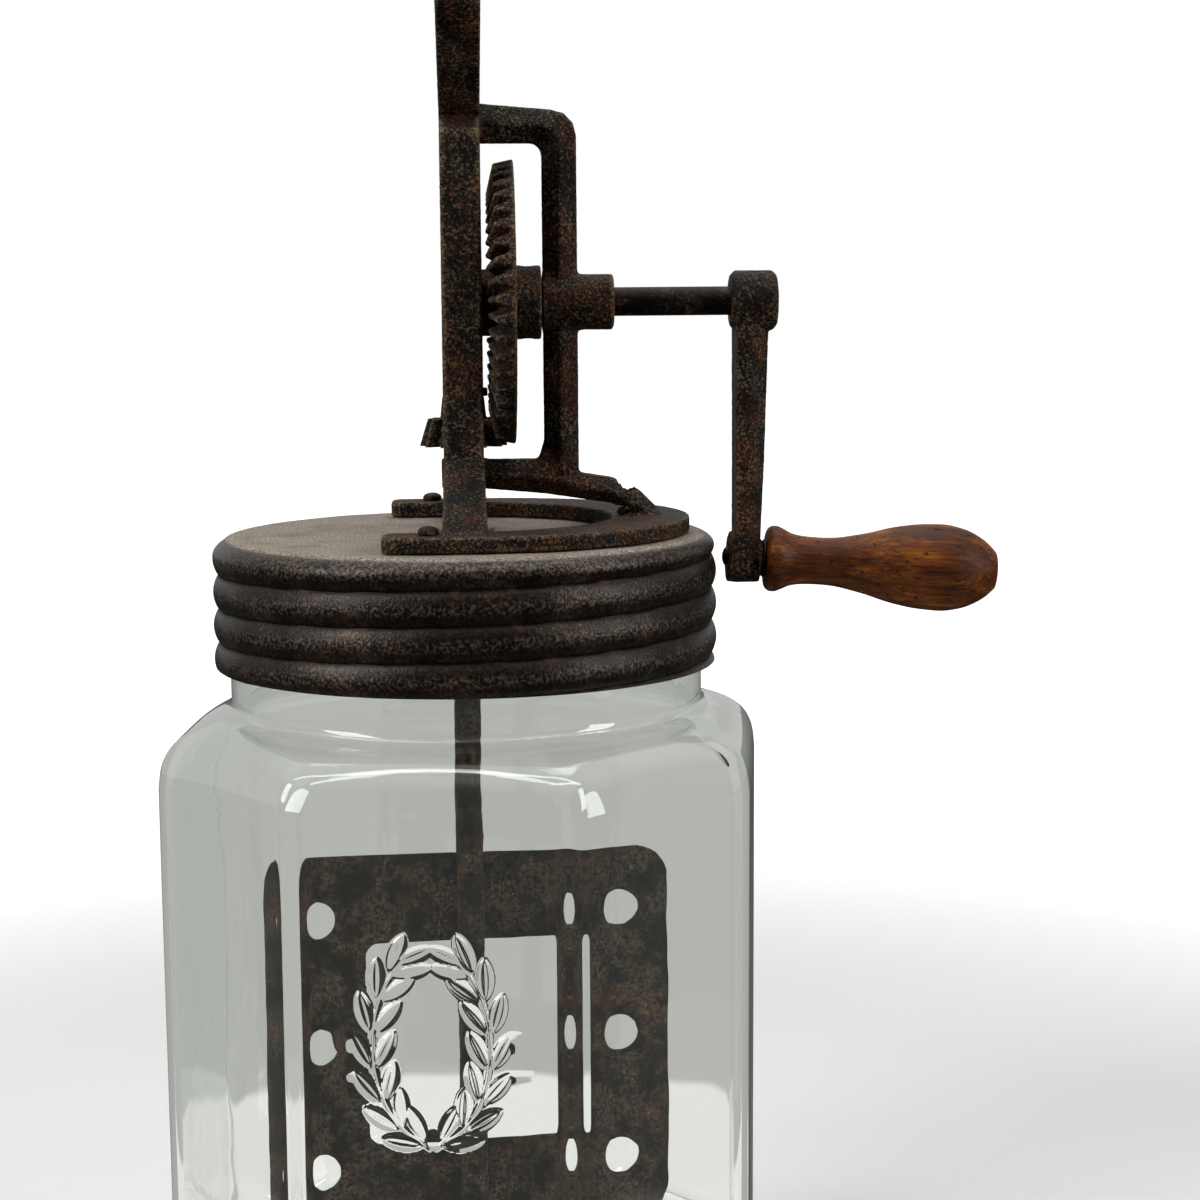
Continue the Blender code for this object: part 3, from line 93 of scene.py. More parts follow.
SHOULDER_SHARES = (
    (0.0, 0.0), (0.25, 0.03), (0.42, 0.09), (0.54, 0.17), (0.635, 0.28),
    (0.71, 0.40), (0.775, 0.56), (0.83, 0.74), (0.875, 0.88), (0.93, 0.97), (1.0, 1.0),
)
SHOULDER_STEPS = 8
SHOULDER_ROUNDING_GROWTH = 2
JAR_INNER_DROP = JAR_WALL * 0.7
INNER_WAVE_SIZE = 0.032
INNER_WAVE_DEPTH = 0.00008
INNER_WAVE_STRETCH = 0.6
THREAD_SHARPNESS = 0.7
THREAD_RUN_IN = 8
FACES = 8
EIGHTH = 2 * math.pi / FACES
FRONT_FACE = 6
CORNER_SPREAD = 1.6
CORNER_COLUMNS = 9
FACE_COLUMNS = 8
WREATH_COLUMNS = 128
JAR_ROWS = {
    "foot": 8, "below wreath": 8, "wreath": 176, "above wreath": 6, "shoulder": 34, "neck": 5, "thread": 26,
    "mouth": 12, "inner neck": 8, "inner shoulder": 26, "inner wall": 16, "inner foot": 7,
}
GLASS_FLAT = (0.972, 0.982, 0.975, 1.0)
GLASS_EDGE = (0.88, 0.93, 0.90, 1.0)
GLASS_SHADOW = (0.93, 0.96, 0.94, 1.0)
GLASS_BEND = 1.46
GLASS_MOST_BOUNCES = 5
BEHIND_GLASS = (192, 194, 188)
# Strength of the glass's painted glow, in that grey, where a ray has bent too often.
BEHIND_GLASS_SHARE = 0.8

# Laurel wreath pressed into the jar's front face
WREATH_Z = 0.110
WREATH_HALF_WIDTH = 0.0172
WREATH_HALF_HEIGHT = 0.0285
WREATH_DEPTH = 0.0010
WREATH_GAP = math.radians(13)
BRANCH_END = math.pi - 1.2 * WREATH_GAP
TIP_LEAF_PLACE = math.pi - 1.15 * WREATH_GAP
LEAF_PAIRS = 7
LEAF_HALF_LENGTH = 0.0062
LEAF_HALF_WIDTH = 0.0027
LEAF_SPREAD = math.radians(27)
LEAF_OFFSET = 0.0036
LEAF_OUTLINE_POWER = 0.7
LEAF_SIDE_POWER = 0.85
LEAF_END_POWER = 0.4
RIB_DEPTH = 0.3
RIB_HALF_WIDTH = 0.28
STEM_HALF_WIDTH = 0.0008
STEM_HEIGHT = 0.55
STEM_TOP = 0.93
TIE_RADIUS = 0.0031
TIE_POWER = 0.6

# Screw lid
LID_LOW, LID_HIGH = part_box("lid")
LID_RIM_Z = LID_LOW.z
LID_TOP_Z = LID_HIGH.z
LID_THREAD_DEPTH = 0.0019
LID_VALLEY_RADIUS = 0.0786
LID_PITCH = 0.0107
LID_VALLEY_DROP = 0.0279
LID_VALLEY_Z = LID_TOP_Z - LID_VALLEY_DROP
LID_SHEET = 0.001
LID_EDGE_ROUND = 0.005
LID_HOLE_RADIUS = 0.0071
LID_FLAT_RADIUS = 0.0700
LID_DENT_SIZE = 0.02
LID_DENT_DEPTH = 0.00018
LID_COLUMNS = 240
LID_ROWS = {
    "flat": 16, "crown": 4, "edge": 10, "thread": 84, "inner thread": 50, "inner edge": 6, "ceiling": 8,
}

# Crank grip and what holds it, along the axis of its pin
GRIP_START = 0.0122
GRIP_LENGTH = 0.0750
GRIP_RADIUS = 0.01405
GRIP_BORE = 0.0025
GRIP_RECESS_RADIUS = 0.0056
GRIP_RECESS_DEPTH = 0.0036
GRIP_PIN_RADIUS = 0.0024
GRIP_PIN_HEAD_RADIUS = 0.0031
GRIP_PIN_HEAD = 0.0015
GRIP_PIN_TAIL = 0.0850
GRIP_WASHER = 0.0008
GRIP_WASHER_RADIUS = 0.006
CRANK_GRIP_SHARES = (
    (0.0, 0.60), (0.005, 0.68), (0.02, 0.745), (0.045, 0.755), (0.072, 0.70), (0.11, 0.605),
    (0.155, 0.56), (0.21, 0.545), (0.27, 0.55), (0.33, 0.585), (0.44, 0.71), (0.54, 0.86),
    (0.64, 0.96), (0.72, 0.995), (0.79, 0.995), (0.87, 0.90), (0.925, 0.765), (0.965, 0.62), (1.0, 0.44),
)

# Carrying grip in the fork
TOP_GRIP_BORE = 0.0031
TOP_ROD_RADIUS = 0.003
TOP_NUT_RADIUS = 0.0055
TOP_GRIP_SHARES = (
    (0.0, 0.62), (0.02, 0.74), (0.05, 0.78), (0.08, 0.74), (0.11, 0.64),
    (0.17, 0.66), (0.28, 0.84), (0.40, 0.97), (0.5, 1.0),
)

# Dasher
DASHER_TURN = math.radians(6)
ROD_RADIUS = 0.0043
PADDLE_WIDTH = 0.130
PADDLE_FRONT_Y = 0.0046
PADDLE_THICKNESS = 0.002
PADDLE_CORNER_ROUND = 0.012
PADDLE_WINDOW_ROUND = 0.004
PADDLE_SIDE_WIDTH = 0.0315
PADDLE_END_WIDTH = 0.030
PADDLE_HOLE_RADIUS = 0.00625
PADDLE_HOLE_END_INSET = 0.0217
PADDLE_HOLE_STEPS = 36
PADDLE_SKIN_CUTS = 3
PADDLE_EDGE_ROUND = 0.00035
PADDLE_WARP = 0.0003
PADDLE_WARP_SIZE = 0.05
PADDLE_NIBBLE = 0.0003
PADDLE_NIBBLE_SIZE = 0.0022
PADDLE_NIBBLE_SHIFT = Vector((0, 7, 0))
RIVET_FRONT = -0.0046
RIVET_BACK = 0.0069
RIVET_RADIUS = 0.0016
RIVET_HEAD_RADIUS = 0.0032
RIVET_HEAD = 0.0014
BUSH_RADIUS = 0.0068
BUSH_FLANGE_THICKNESS = 0.0018
SEAL_WIDTH = 0.0053
SEAL_CHAMFER = 0.0006

# Fasteners of the base plate
SCREW_RADIUS = 0.0019
SCREW_HEAD_RADIUS = 0.0032
SCREW_HEAD_HEIGHT = 0.0024
SCREW_RIM = 0.0007
SCREW_SLOT_WIDTH = 0.0008
SCREW_SLOT_DEPTH = 0.0009
SCREW_SLOT_TURNS = (0.3, -0.5, 1.1)
NUT_RADIUS = 0.004
NUT_FACE_SHARE = 0.88
NUT_SIDE_SHARE = 0.7
GAP = 0.0003

# Castings and turned pieces
CAST_GRAIN_SIZE = 0.0016
HOLLOW_REACH = 12
GRIP_LINE_STEPS = 5
GRIP_ROUND_STEPS = 72
FIBRE_STRETCH = (1, 1, 22)
BAND_STRETCH = (1, 1, 7)
ROUND_STEPS = 64
PIN_STEPS = 40
DOME_STEPS = 6
DOME_CROWN_SHARE = 0.05
SHARP_ANGLE = math.radians(40)
FULL_TURN = 2 * math.pi
CHAMFER = 0.0004
FINE_CHAMFER = 0.0002

# Studio. Through the glass the floor is a pale table out to its edge, and the same grey as the room beyond
FLOOR_RADIUS = 6.0
FLOOR_STEPS = 96
FLOOR_DROP = 0.0002
TABLE_EDGE = (0.222, 0.236)
TABLE_SEEN = (0.93, 0.93, 0.89, 1.0)
TABLE_SHARE = 0.92
FLOOR_LEVEL = 0.62
FLOOR_LEVEL_IN_GLOSS = 0.06
HAZE_START = 0.30
HAZE_END = 1.0
HAZE_LEAST = 0.08
HAZE_RISE = 0.9
ROOM_LOW = 0.14
ROOM_HIGH = 0.34
GLOSS_LOW = 0.04
GLOSS_HIGH = 1.7
LAMP_TARGET = (0, 0, 0.25)
LAMPS = (
    ("key_lamp", (-1.1, -0.6, 0.9), 0.5, 0.9, 16),
    ("side_lamp", (1.2, -0.55, 0.65), 0.35, 0.9, 11),
    ("strip_lamp", (0.0, -0.30, 1.35), 1.4, 0.12, 5),
    ("top_lamp", (0.1, 0.35, 1.4), 0.9, 0.5, 4),
)
CAMERA_PLACE = (0, -0.819, 0.336)
CAMERA_YAW = math.radians(-3.02)
CAMERA_PITCH = math.radians(90 - 7.4)
CAMERA_ROLL = math.radians(-0.45)
CAMERA_LENS = 76.8
CAMERA_SENSOR = 36.0


def grey(level):
    """An even grey at a linear level, where 1 is white."""
    return (level, level, level, 1.0)


def srgb(red, green, blue):
    """A colour given on the usual 0 to 255 scale, made linear for the shaders."""
    def linear(level):
        level = level / 255
        return level / 12.92 if level <= 0.04045 else ((level + 0.055) / 1.055) ** 2.4
    return (linear(red), linear(green), linear(blue), 1.0)


class Wire:
    """The output of a node. Sums and products of wires add Math nodes."""

    def __init__(self, net, socket):
        self.net = net
        self.socket = socket

    def work(self, operation, *values):
        return self.net.node("ShaderNodeMath", {"operation": operation}, dict(enumerate(values)))

    def __add__(self, other):
        return self.work("ADD", self, other)

    def __radd__(self, other):
        return self.work("ADD", other, self)

    def __sub__(self, other):
        return self.work("SUBTRACT", self, other)

    def __rsub__(self, other):
        return self.work("SUBTRACT", other, self)

    def __mul__(self, other):
        return self.work("MULTIPLY", self, other)

    def __rmul__(self, other):
        return self.work("MULTIPLY", other, self)

class Net:
    """A node tree being wired up, for a material or the world."""

    def __init__(self, owner):
        owner.use_nodes = True
        self.owner = owner
        self.tree = owner.node_tree
        self.tree.nodes.clear()

    def node(self, kind, settings=None, sockets=None, output=0):
        """Adds a node, sets its settings, fills its sockets with values or wires, and gives an output."""
        made = self.tree.nodes.new(kind)
        for name, value in (settings or {}).items():
            if name == "stops":
                ramp = made.color_ramp.elements
                while len(ramp) < len(value):
                    ramp.new(1.0)
                for element, (position, colour) in zip(ramp, value):
                    element.position = position
                    element.color = colour
            else:
                setattr(made, name, value)
        for name, value in (sockets or {}).items():
            if isinstance(value, Wire):
                self.tree.links.new(value.socket, made.inputs[name])
            else:
                made.inputs[name].default_value = value
        return Wire(self, made.outputs[output]) if made.outputs else None

    def place(self):
        return self.node("ShaderNodeTexCoord", output="Object")

    def turned_place(self, centre, turn, stretch=(1, 1, 1)):
        """Object coordinates seen from a centre and a turn, stretched along its axes."""
        sockets = {"Vector": self.place(), "Location": centre, "Rotation": turn, "Scale": stretch}
        return self.node("ShaderNodeMapping", {"vector_type": "TEXTURE"}, sockets)

    def noise(self, size, detail=3.0, roughness=0.55, at=None):
        """Noise from 0 to 1, with features of about the size given in metres."""
        sockets = {"Vector": at or self.place(), "Scale": 1 / size, "Detail": detail, "Roughness": roughness}
        return self.node("ShaderNodeTexNoise", None, sockets)

    def step(self, value, low, high):
        """0 below low, 1 above high, with a soft climb between."""
        sockets = {"Value": value, "From Min": low, "From Max": high}
        return self.node("ShaderNodeMapRange", {"interpolation_type": "SMOOTHSTEP"}, sockets)

    def ramp(self, value, *stops):
        return self.node("ShaderNodeValToRGB", {"stops": stops}, {0: value})

    def mix(self, share, first, second):
        return self.node("ShaderNodeMix", {"data_type": "RGBA"}, {0: share, 6: first, 7: second}, output=2)

    def attribute(self, name):
        return self.node("ShaderNodeAttribute", {"attribute_name": name}, output="Fac")

    def axis(self, letter, at=None):
        return self.node("ShaderNodeSeparateXYZ", None, {0: at or self.place()}, output=letter)

    def bump(self, height, depth):
        return self.node("ShaderNodeBump", None, {"Height": height, "Distance": depth, "Strength": 1.0})

    def surface(self, **sockets):
        """The Principled shader, with socket names written with underscores, wired to the output."""
        named = {name.replace("_", " "): value for name, value in sockets.items()}
        shader = self.node("ShaderNodeBsdfPrincipled", None, named)
        self.node("ShaderNodeOutputMaterial", None, {"Surface": shader})
        return self.owner


def new_net(name):
    return Net(bpy.data.materials.new(name))


def cast_iron(name, rust=1.0):
    """Old sand cast iron: dark olive grain, light specks of dust and painted glints, edges lightened by wear
    and by painted highlights, and orange rust in the corners.
    """
    net = new_net(name)
    hollow = net.attribute("hollow")
    cloud = net.noise(0.009, 3)
    grain = net.noise(0.0009, 3, 0.6)
    speck = net.noise(0.0005, 2)
    base = net.ramp(cloud * 0.2 + grain * 0.8, (0.42, srgb(3, 2, 2)), (0.50, srgb(11, 8, 6)),
                    (0.55, srgb(30, 24, 17)), (0.62, srgb(84, 71, 51)))
    # Light specks: partly dust, and partly painted glints standing in for sparkle on the pitted skin.
    crumbs = net.step(speck, 0.58, 0.66) * net.step(cloud, 0.40, 0.56)
    speckled_tone = net.mix(crumbs * 0.45, base, srgb(112, 97, 72))
    # Lighter edges: wear, and also painted highlight lines along the edges.
    edge = net.step(-1 * hollow, 0.10, 0.45) * net.step(grain, 0.38, 0.56)
    worn_and_highlit = net.mix(edge * 0.7, speckled_tone, srgb(126, 110, 84))
    patch = net.noise(0.014, 4, 0.62)
    corner = net.step(hollow, 0.06, 0.36)
    rusty = (corner * 0.75 + 0.22) * net.step(patch, 0.47, 0.60) * rust
    bloom = net.ramp(grain, (0.40, srgb(24, 10, 3)), (0.62, srgb(124, 62, 20)))
    colour = net.mix(rusty, worn_and_highlit, bloom)
    roughness = 0.50 + cloud * 0.16 - edge * 0.14 + rusty * 0.25
    relief = grain * 0.7 + speck * 0.3
    return net.surface(Base_Color=colour, Roughness=roughness, Metallic=0.4 - rusty * 0.35,
                       Normal=net.bump(relief, 0.0008), Specular_IOR_Level=0.15)


def lid_steel():
    """Thin pressed steel, brown with age: painted shade in the thread valleys, painted highlights along the
    crests, and a lighter, speckled top.
    """
    net = new_net("lid steel")
    valley = net.attribute("valley")
    height = net.axis("Z")
    top = net.step(height, LID_TOP_Z - 0.0012, LID_TOP_Z - 0.0003)
    cloud = net.noise(0.016, 4, 0.6)
    fine = net.noise(0.0010, 3, 0.6)
    speck = net.noise(0.0006, 2)
    side = net.ramp(cloud * 0.5 + fine * 0.5, (0.38, srgb(8, 6, 4)), (0.49, srgb(23, 17, 12)),
                    (0.57, srgb(40, 31, 23)), (0.66, srgb(70, 57, 45)))
    speckled_tone = net.ramp(fine * 0.45 + speck * 0.55, (0.38, srgb(62, 54, 46)), (0.50, srgb(120, 110, 98)),
                     (0.62, srgb(174, 163, 148)))
    stained = net.mix(net.step(cloud, 0.46, 0.62) * 0.45, speckled_tone, srgb(78, 66, 54))
    base = net.mix(top, side, stained)
    groove = net.step(valley, 0.50, 0.95)
    # Painted shade: the thread valleys are darkened almost to black, as shade in the creases.
    dark = net.mix(groove * 0.85, base, srgb(7, 5, 4))
    # Painted highlight: light streaks along the thread crests, away from the top.
    crest = net.step(1 - valley, 0.82, 1.0) * net.step(fine, 0.46, 0.60) * (1 - top)
    worn_and_highlit = net.mix(crest * 0.30, dark, srgb(118, 102, 86))
    rust = net.step(net.noise(0.010, 4, 0.65), 0.57, 0.68) * (groove * 0.5 + 0.10)
    colour = net.mix(rust, worn_and_highlit, srgb(80, 42, 22))
    roughness = 0.26 + fine * 0.16 + top * 0.3 + groove * 0.2 + rust * 0.15
    return net.surface(Base_Color=colour, Roughness=roughness, Metallic=0.5 - rust * 0.3 - top * 0.3,
                       Normal=net.bump(fine * 0.6 + speck * 0.4, 0.00030), Specular_IOR_Level=0.3)


def dark_steel():
    """Tarnished round bar and fasteners."""
    net = new_net("dark steel")
    cloud = net.noise(0.006, 4, 0.6)
    fine = net.noise(0.0008, 3)
    base = net.ramp(cloud * 0.5 + fine * 0.5, (0.36, srgb(9, 7, 6)), (0.52, srgb(24, 20, 16)),
                    (0.66, srgb(66, 57, 47)))
    rust = net.step(net.noise(0.007, 4, 0.7), 0.57, 0.70)
    colour = net.mix(rust * 0.6, base, srgb(98, 54, 30))
    return net.surface(Base_Color=colour, Roughness=0.42 + fine * 0.2 + rust * 0.2,
                       Metallic=0.75 - rust * 0.5, Normal=net.bump(fine, 0.00012),
                       Specular_IOR_Level=0.2)


def paddle_steel():
    """The punched plate and its rod: dark brown, mottled and pitted by years of washing."""
    net = new_net("paddle steel")
    cloud = net.noise(0.012, 5, 0.65)
    fine = net.noise(0.0013, 4, 0.65)
    speck = net.noise(0.0007, 2)
    stain = net.mix(net.step(cloud, 0.42, 0.56), srgb(14, 10, 6), srgb(56, 47, 35))
    base = net.mix(net.step(fine, 0.40, 0.60), srgb(9, 6, 4), stain)
    rust = net.step(net.noise(0.018, 5, 0.7), 0.50, 0.64) * net.step(speck, 0.38, 0.58)
    bloom = net.ramp(fine, (0.35, srgb(40, 23, 11)), (0.65, srgb(92, 60, 34)))
    colour = net.mix(rust * 0.6, base, bloom)
    crumbs = net.step(speck, 0.60, 0.68) * net.step(cloud, 0.44, 0.6)
    speckled_tone = net.mix(crumbs * 0.55, colour, srgb(118, 103, 84))
    return net.surface(Base_Color=speckled_tone, Roughness=0.6 + cloud * 0.2, Metallic=0.25,
                       Normal=net.bump(fine * 0.6 + speck * 0.4, 0.0002), Specular_IOR_Level=0.12)


def turned_wood(name, place):
    """Oiled hardwood, turned: fine fibres along the grip, a few broad bands, and small dark dents."""
    net = new_net(name)
    turn = place.to_euler()
    centre = place.to_translation()
    fibre_place = net.turned_place(centre, turn, FIBRE_STRETCH)
    band_place = net.turned_place(centre, turn, BAND_STRETCH)
    plain_place = net.turned_place(centre, turn)
    fibre = net.noise(0.0009, 3, 0.6, fibre_place)
    pores = net.noise(0.0005, 2, 0.5, fibre_place)
    band = net.noise(0.0065, 3, 0.5, band_place)
    blotch = net.noise(0.016, 3, 0.5, plain_place)
    base = net.ramp(fibre * 0.4 + band * 0.6, (0.36, srgb(42, 17, 3)), (0.47, srgb(70, 33, 6)),
                    (0.56, srgb(98, 52, 11)), (0.66, srgb(134, 82, 26)))
    shaded = net.mix(net.step(blotch, 0.42, 0.62) * 0.5, base, srgb(42, 19, 5))
    lined = net.mix(net.step(pores, 0.54, 0.66) * 0.7, shaded, srgb(28, 12, 4))
    dents = net.step(net.noise(0.0034, 2, 0.5, plain_place), 0.66, 0.71)
    colour = net.mix(dents * 0.75, lined, srgb(18, 9, 4))
    relief = fibre * 0.4 + pores * 0.3 - dents * 0.8
    return net.surface(Base_Color=colour, Roughness=0.40 + fibre * 0.14 + dents * 0.2,
                       Normal=net.bump(relief, 0.00014), Specular_IOR_Level=0.12)


def jar_glass():
    """Old pressed glass: faintly green, darker where it is seen edge on, and not quite even.

    It lets light through to the floor, and where a ray has bent too often the glass gives off a painted glow
    in the grey behind it.
    """
    net = new_net("jar glass")
    light_path = "ShaderNodeLightPath"
    facing = net.node("ShaderNodeLayerWeight", None, {"Blend": 0.35}, output="Facing")
    colour = net.mix(net.step(facing, 0.25, 1.0), GLASS_FLAT, GLASS_EDGE)
    ripple = net.bump(net.noise(0.035, 2, 0.4), 0.0003)
    sockets = {"Base Color": colour, "Roughness": 0.0, "IOR": GLASS_BEND, "Transmission Weight": 1.0,
               "Normal": ripple}
    solid = net.node("ShaderNodeBsdfPrincipled", None, sockets)
    clear = net.node("ShaderNodeBsdfTransparent", None, {"Color": GLASS_SHADOW})
    shadow = net.node(light_path, output="Is Shadow Ray")
    shaded = net.node("ShaderNodeMixShader", None, {0: shadow, 1: solid, 2: clear})
    # Painted glow: once a ray has bent more than GLASS_MOST_BOUNCES times, the glass gives off light of its
    # own in the grey behind it.
    depth = net.node(light_path, output="Ray Depth")
    caught = depth.work("GREATER_THAN", depth, GLASS_MOST_BOUNCES)
    sockets = {"Color": srgb(*BEHIND_GLASS), "Strength": BEHIND_GLASS_SHARE}
    behind = net.node("ShaderNodeEmission", None, sockets)
    glass = net.node("ShaderNodeMixShader", None, {0: caught, 1: shaded, 2: behind})
    net.node("ShaderNodeOutputMaterial", None, {"Surface": glass})
    return net.owner


def seal_rubber():
    net = new_net("seal rubber")
    cloud = net.noise(0.004, 3)
    colour = net.ramp(cloud, (0.35, srgb(120, 62, 50)), (0.65, srgb(158, 92, 74)))
    return net.surface(Base_Color=colour, Roughness=0.75 + cloud * 0.15, Normal=net.bump(cloud, 0.0001))


def bush_brass():
    net = new_net("bush brass")
    cloud = net.noise(0.003, 4, 0.6)
    colour = net.ramp(cloud, (0.35, srgb(96, 74, 42)), (0.65, srgb(158, 126, 74)))
    return net.surface(Base_Color=colour, Roughness=0.38 + cloud * 0.2, Metallic=0.9,
                       Normal=net.bump(cloud, 0.00008))


def finish_piece(name, bm, material, *nodes):
    """Makes a piece from a bmesh. It rides on the body of the nodes that it stands for."""
    mesh = bpy.data.meshes.new(name)
    bm.to_mesh(mesh)
    bm.free()
    mesh.shade_smooth()
    mesh.set_sharp_from_angle(angle=SHARP_ANGLE)
    mesh.materials.append(material)
    piece = bpy.data.objects.new(name, mesh)
    bpy.context.scene.collection.objects.link(piece)
    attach(piece, BODY_OF[nodes[0]])
    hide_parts(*nodes)
    return piece


def modify(piece, kind, **settings):
    """Adds a modifier and bakes its result into the piece's mesh."""
    modifier = piece.modifiers.new(kind.lower(), kind)
    for name, value in settings.items():
        setattr(modifier, name, value)
    graph = bpy.context.evaluated_depsgraph_get()
    shaped = bpy.data.meshes.new_from_object(piece.evaluated_get(graph))
    piece.modifiers.clear()
    plain = piece.data
    piece.data = shaped
    bpy.data.meshes.remove(plain)


def read_vectors(items, name):
    values = np.empty(len(items) * 3)
    items.foreach_get(name, values)
    return values.reshape(-1, 3)


def mark_hollows(piece, reach):
    """Stores how hollow the surface is at each point: above 0 in corners, below 0 along edges."""
    mesh = piece.data
    count = len(mesh.vertices)
    points = read_vectors(mesh.vertices, "co")
    normals = read_vectors(mesh.vertices, "normal")
    ends = np.empty(len(mesh.edges) * 2, dtype=int)
    mesh.edges.foreach_get("vertices", ends)
    left, right = ends.reshape(-1, 2).T
    degree = np.bincount(left, minlength=count) + np.bincount(right, minlength=count)

    def neighbours(values):
        total = np.bincount(left, values[right], count) + np.bincount(right, values[left], count)
        return total / np.maximum(degree, 1)

    soft = points.copy()
    for _ in range(reach):
        soft = np.stack([neighbours(soft[:, axis]) for axis in range(3)], axis=1)
    spacing = np.linalg.norm(points[left] - points[right], axis=1).mean()
    hollow = ((soft - points) * normals).sum(axis=1) / (spacing * math.sqrt(reach))
    hollow = neighbours(neighbours(hollow))
    layer = mesh.attributes.new("hollow", "FLOAT", "POINT")
    layer.data.foreach_set("value", hollow.astype(np.float32))


def roughen(piece, size, depth):
    """Raises a fine grain on a piece, along its normals."""
    mesh = piece.data
    points = read_vectors(mesh.vertices, "co")
    normals = read_vectors(mesh.vertices, "normal")
    places = [Vector(point) for point in points / size]
    lift = [noise.noise(place) * 0.6 + noise.noise(place * 2.7) * 0.4 for place in places]
    points += normals * (np.array(lift) * depth)[:, None]
    mesh.vertices.foreach_set("co", points.ravel())
    mesh.update()


def merged_copy(node):
    """The frame's own solid as one connected bmesh."""
    bm = bmesh.new()
    bm.from_mesh(frame["nodes"][node].data)
    bmesh.ops.remove_doubles(bm, verts=bm.verts, dist=0.00001)
    return bm


def cast_piece(name, node, material, voxel, most_faces, soften=3, depth=0.00012):
    """A sand casting: the solid with softened edges and a grain in its skin."""
    piece = finish_piece(name, merged_copy(node), material, node)
    modify(piece, "REMESH", mode="VOXEL", voxel_size=voxel)
    modify(piece, "SMOOTH", factor=0.5, iterations=soften)
    modify(piece, "TRIANGULATE")
    modify(piece, "DECIMATE", ratio=min(1.0, most_faces / len(piece.data.polygons)))
    roughen(piece, CAST_GRAIN_SIZE, depth)
    mark_hollows(piece, HOLLOW_REACH)
    piece.data.shade_smooth()


def smooth_line(points, steps):
    """A curve through the points, with so many steps between each two."""
    line = []
    for i in range(len(points) - 1):
        before = Vector(points[max(i - 1, 0)])
        start = Vector(points[i])
        end = Vector(points[i + 1])
        after = Vector(points[min(i + 2, len(points) - 1)])
        for step in range(steps):
            t = step / steps
            bend = (2 * before - 5 * start + 4 * end - after) * t
            bend += (3 * start - before - 3 * end + after) * t * t
            line.append(start + ((end - before) + bend) * t / 2)
    line.append(Vector(points[-1]))
    return line


def turned(profile, turn=None, closed=True, steps=ROUND_STEPS):
    """Turns (radius, height) points about Z. A closed profile is a ring, and others get flat ends."""
    bm = bmesh.new()
    points = [bm.verts.new((radius, 0, height)) for radius, height in profile]
    edges = [bm.edges.new(pair) for pair in zip(points, points[1:])]
    if closed:
        edges.append(bm.edges.new((points[-1], points[0])))
    bmesh.ops.spin(bm, geom=points + edges, axis=(0, 0, 1), cent=(0, 0, 0), angle=FULL_TURN, steps=steps,
                   use_merge=True)
    if not closed:
        bmesh.ops.holes_fill(bm, edges=bm.edges, sides=0)
    bmesh.ops.recalc_face_normals(bm, faces=bm.faces)
    if turn:
        bmesh.ops.transform(bm, matrix=turn, verts=bm.verts)
    return bm


def pointing(place, direction):
    """The matrix that takes +Z to a direction, from a place."""
    return Matrix.Translation(place) @ Vector(direction).to_track_quat("Z", "Y").to_matrix().to_4x4()


def bar(name, node, direction, material):
    """A round bar as long and thick as a node, with chamfered ends."""
    low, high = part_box(node)
    size = high - low
    half = size.dot(Vector(direction)) / 2
    radius = min(size) / 2
    profile = [(radius - CHAMFER, -half), (radius, CHAMFER - half),
               (radius, half - CHAMFER), (radius - CHAMFER, half)]
    bm = turned(profile, pointing((low + high) / 2, direction), closed=False)
    finish_piece(name, bm, material, node)


def dome(radius, base, rise):
    """(radius, height) points of a round head, from its rim to its crown."""
    angles = steps_between(0, math.pi / 2, DOME_STEPS)
    rim = [(radius * math.cos(a), base + rise * math.sin(a)) for a in angles]
    return rim + [(radius * DOME_CROWN_SHARE, base + rise)]


def headed_pin(name, node, place, start, end, radius, head, rise, material):
    """A pin with a domed head at each end, between two heights along its axis."""
    profile = [(wide, start - height) for wide, height in reversed(dome(head, 0, rise))]
    profile += [(radius, start), (radius, end)] + dome(head, end, rise)
    finish_piece(name, turned(profile, place, closed=False, steps=PIN_STEPS), material, node)


def band(name, node, place, inner, outer, start, end, material, chamfer=FINE_CHAMFER):
    """A ring with chamfered edges, such as a washer or a collar."""
    profile = [(inner, start), (outer - chamfer, start), (outer, start + chamfer),
               (outer, end - chamfer), (outer - chamfer, end), (inner, end)]
    finish_piece(name, turned(profile, place), material, node)


def cut_with(piece, operation, cutter):
    """Shapes a piece with a bmesh, as a Boolean."""
    mesh = bpy.data.meshes.new("cutter")
    cutter.to_mesh(mesh)
    cutter.free()
    tool = bpy.data.objects.new("cutter", mesh)
    bpy.context.scene.collection.objects.link(tool)
    modify(piece, "BOOLEAN", operation=operation, object=tool, solver="EXACT")
    bpy.data.objects.remove(tool)
    bpy.data.meshes.remove(mesh)
    piece.data.shade_smooth()
    piece.data.set_sharp_from_angle(angle=SHARP_ANGLE)


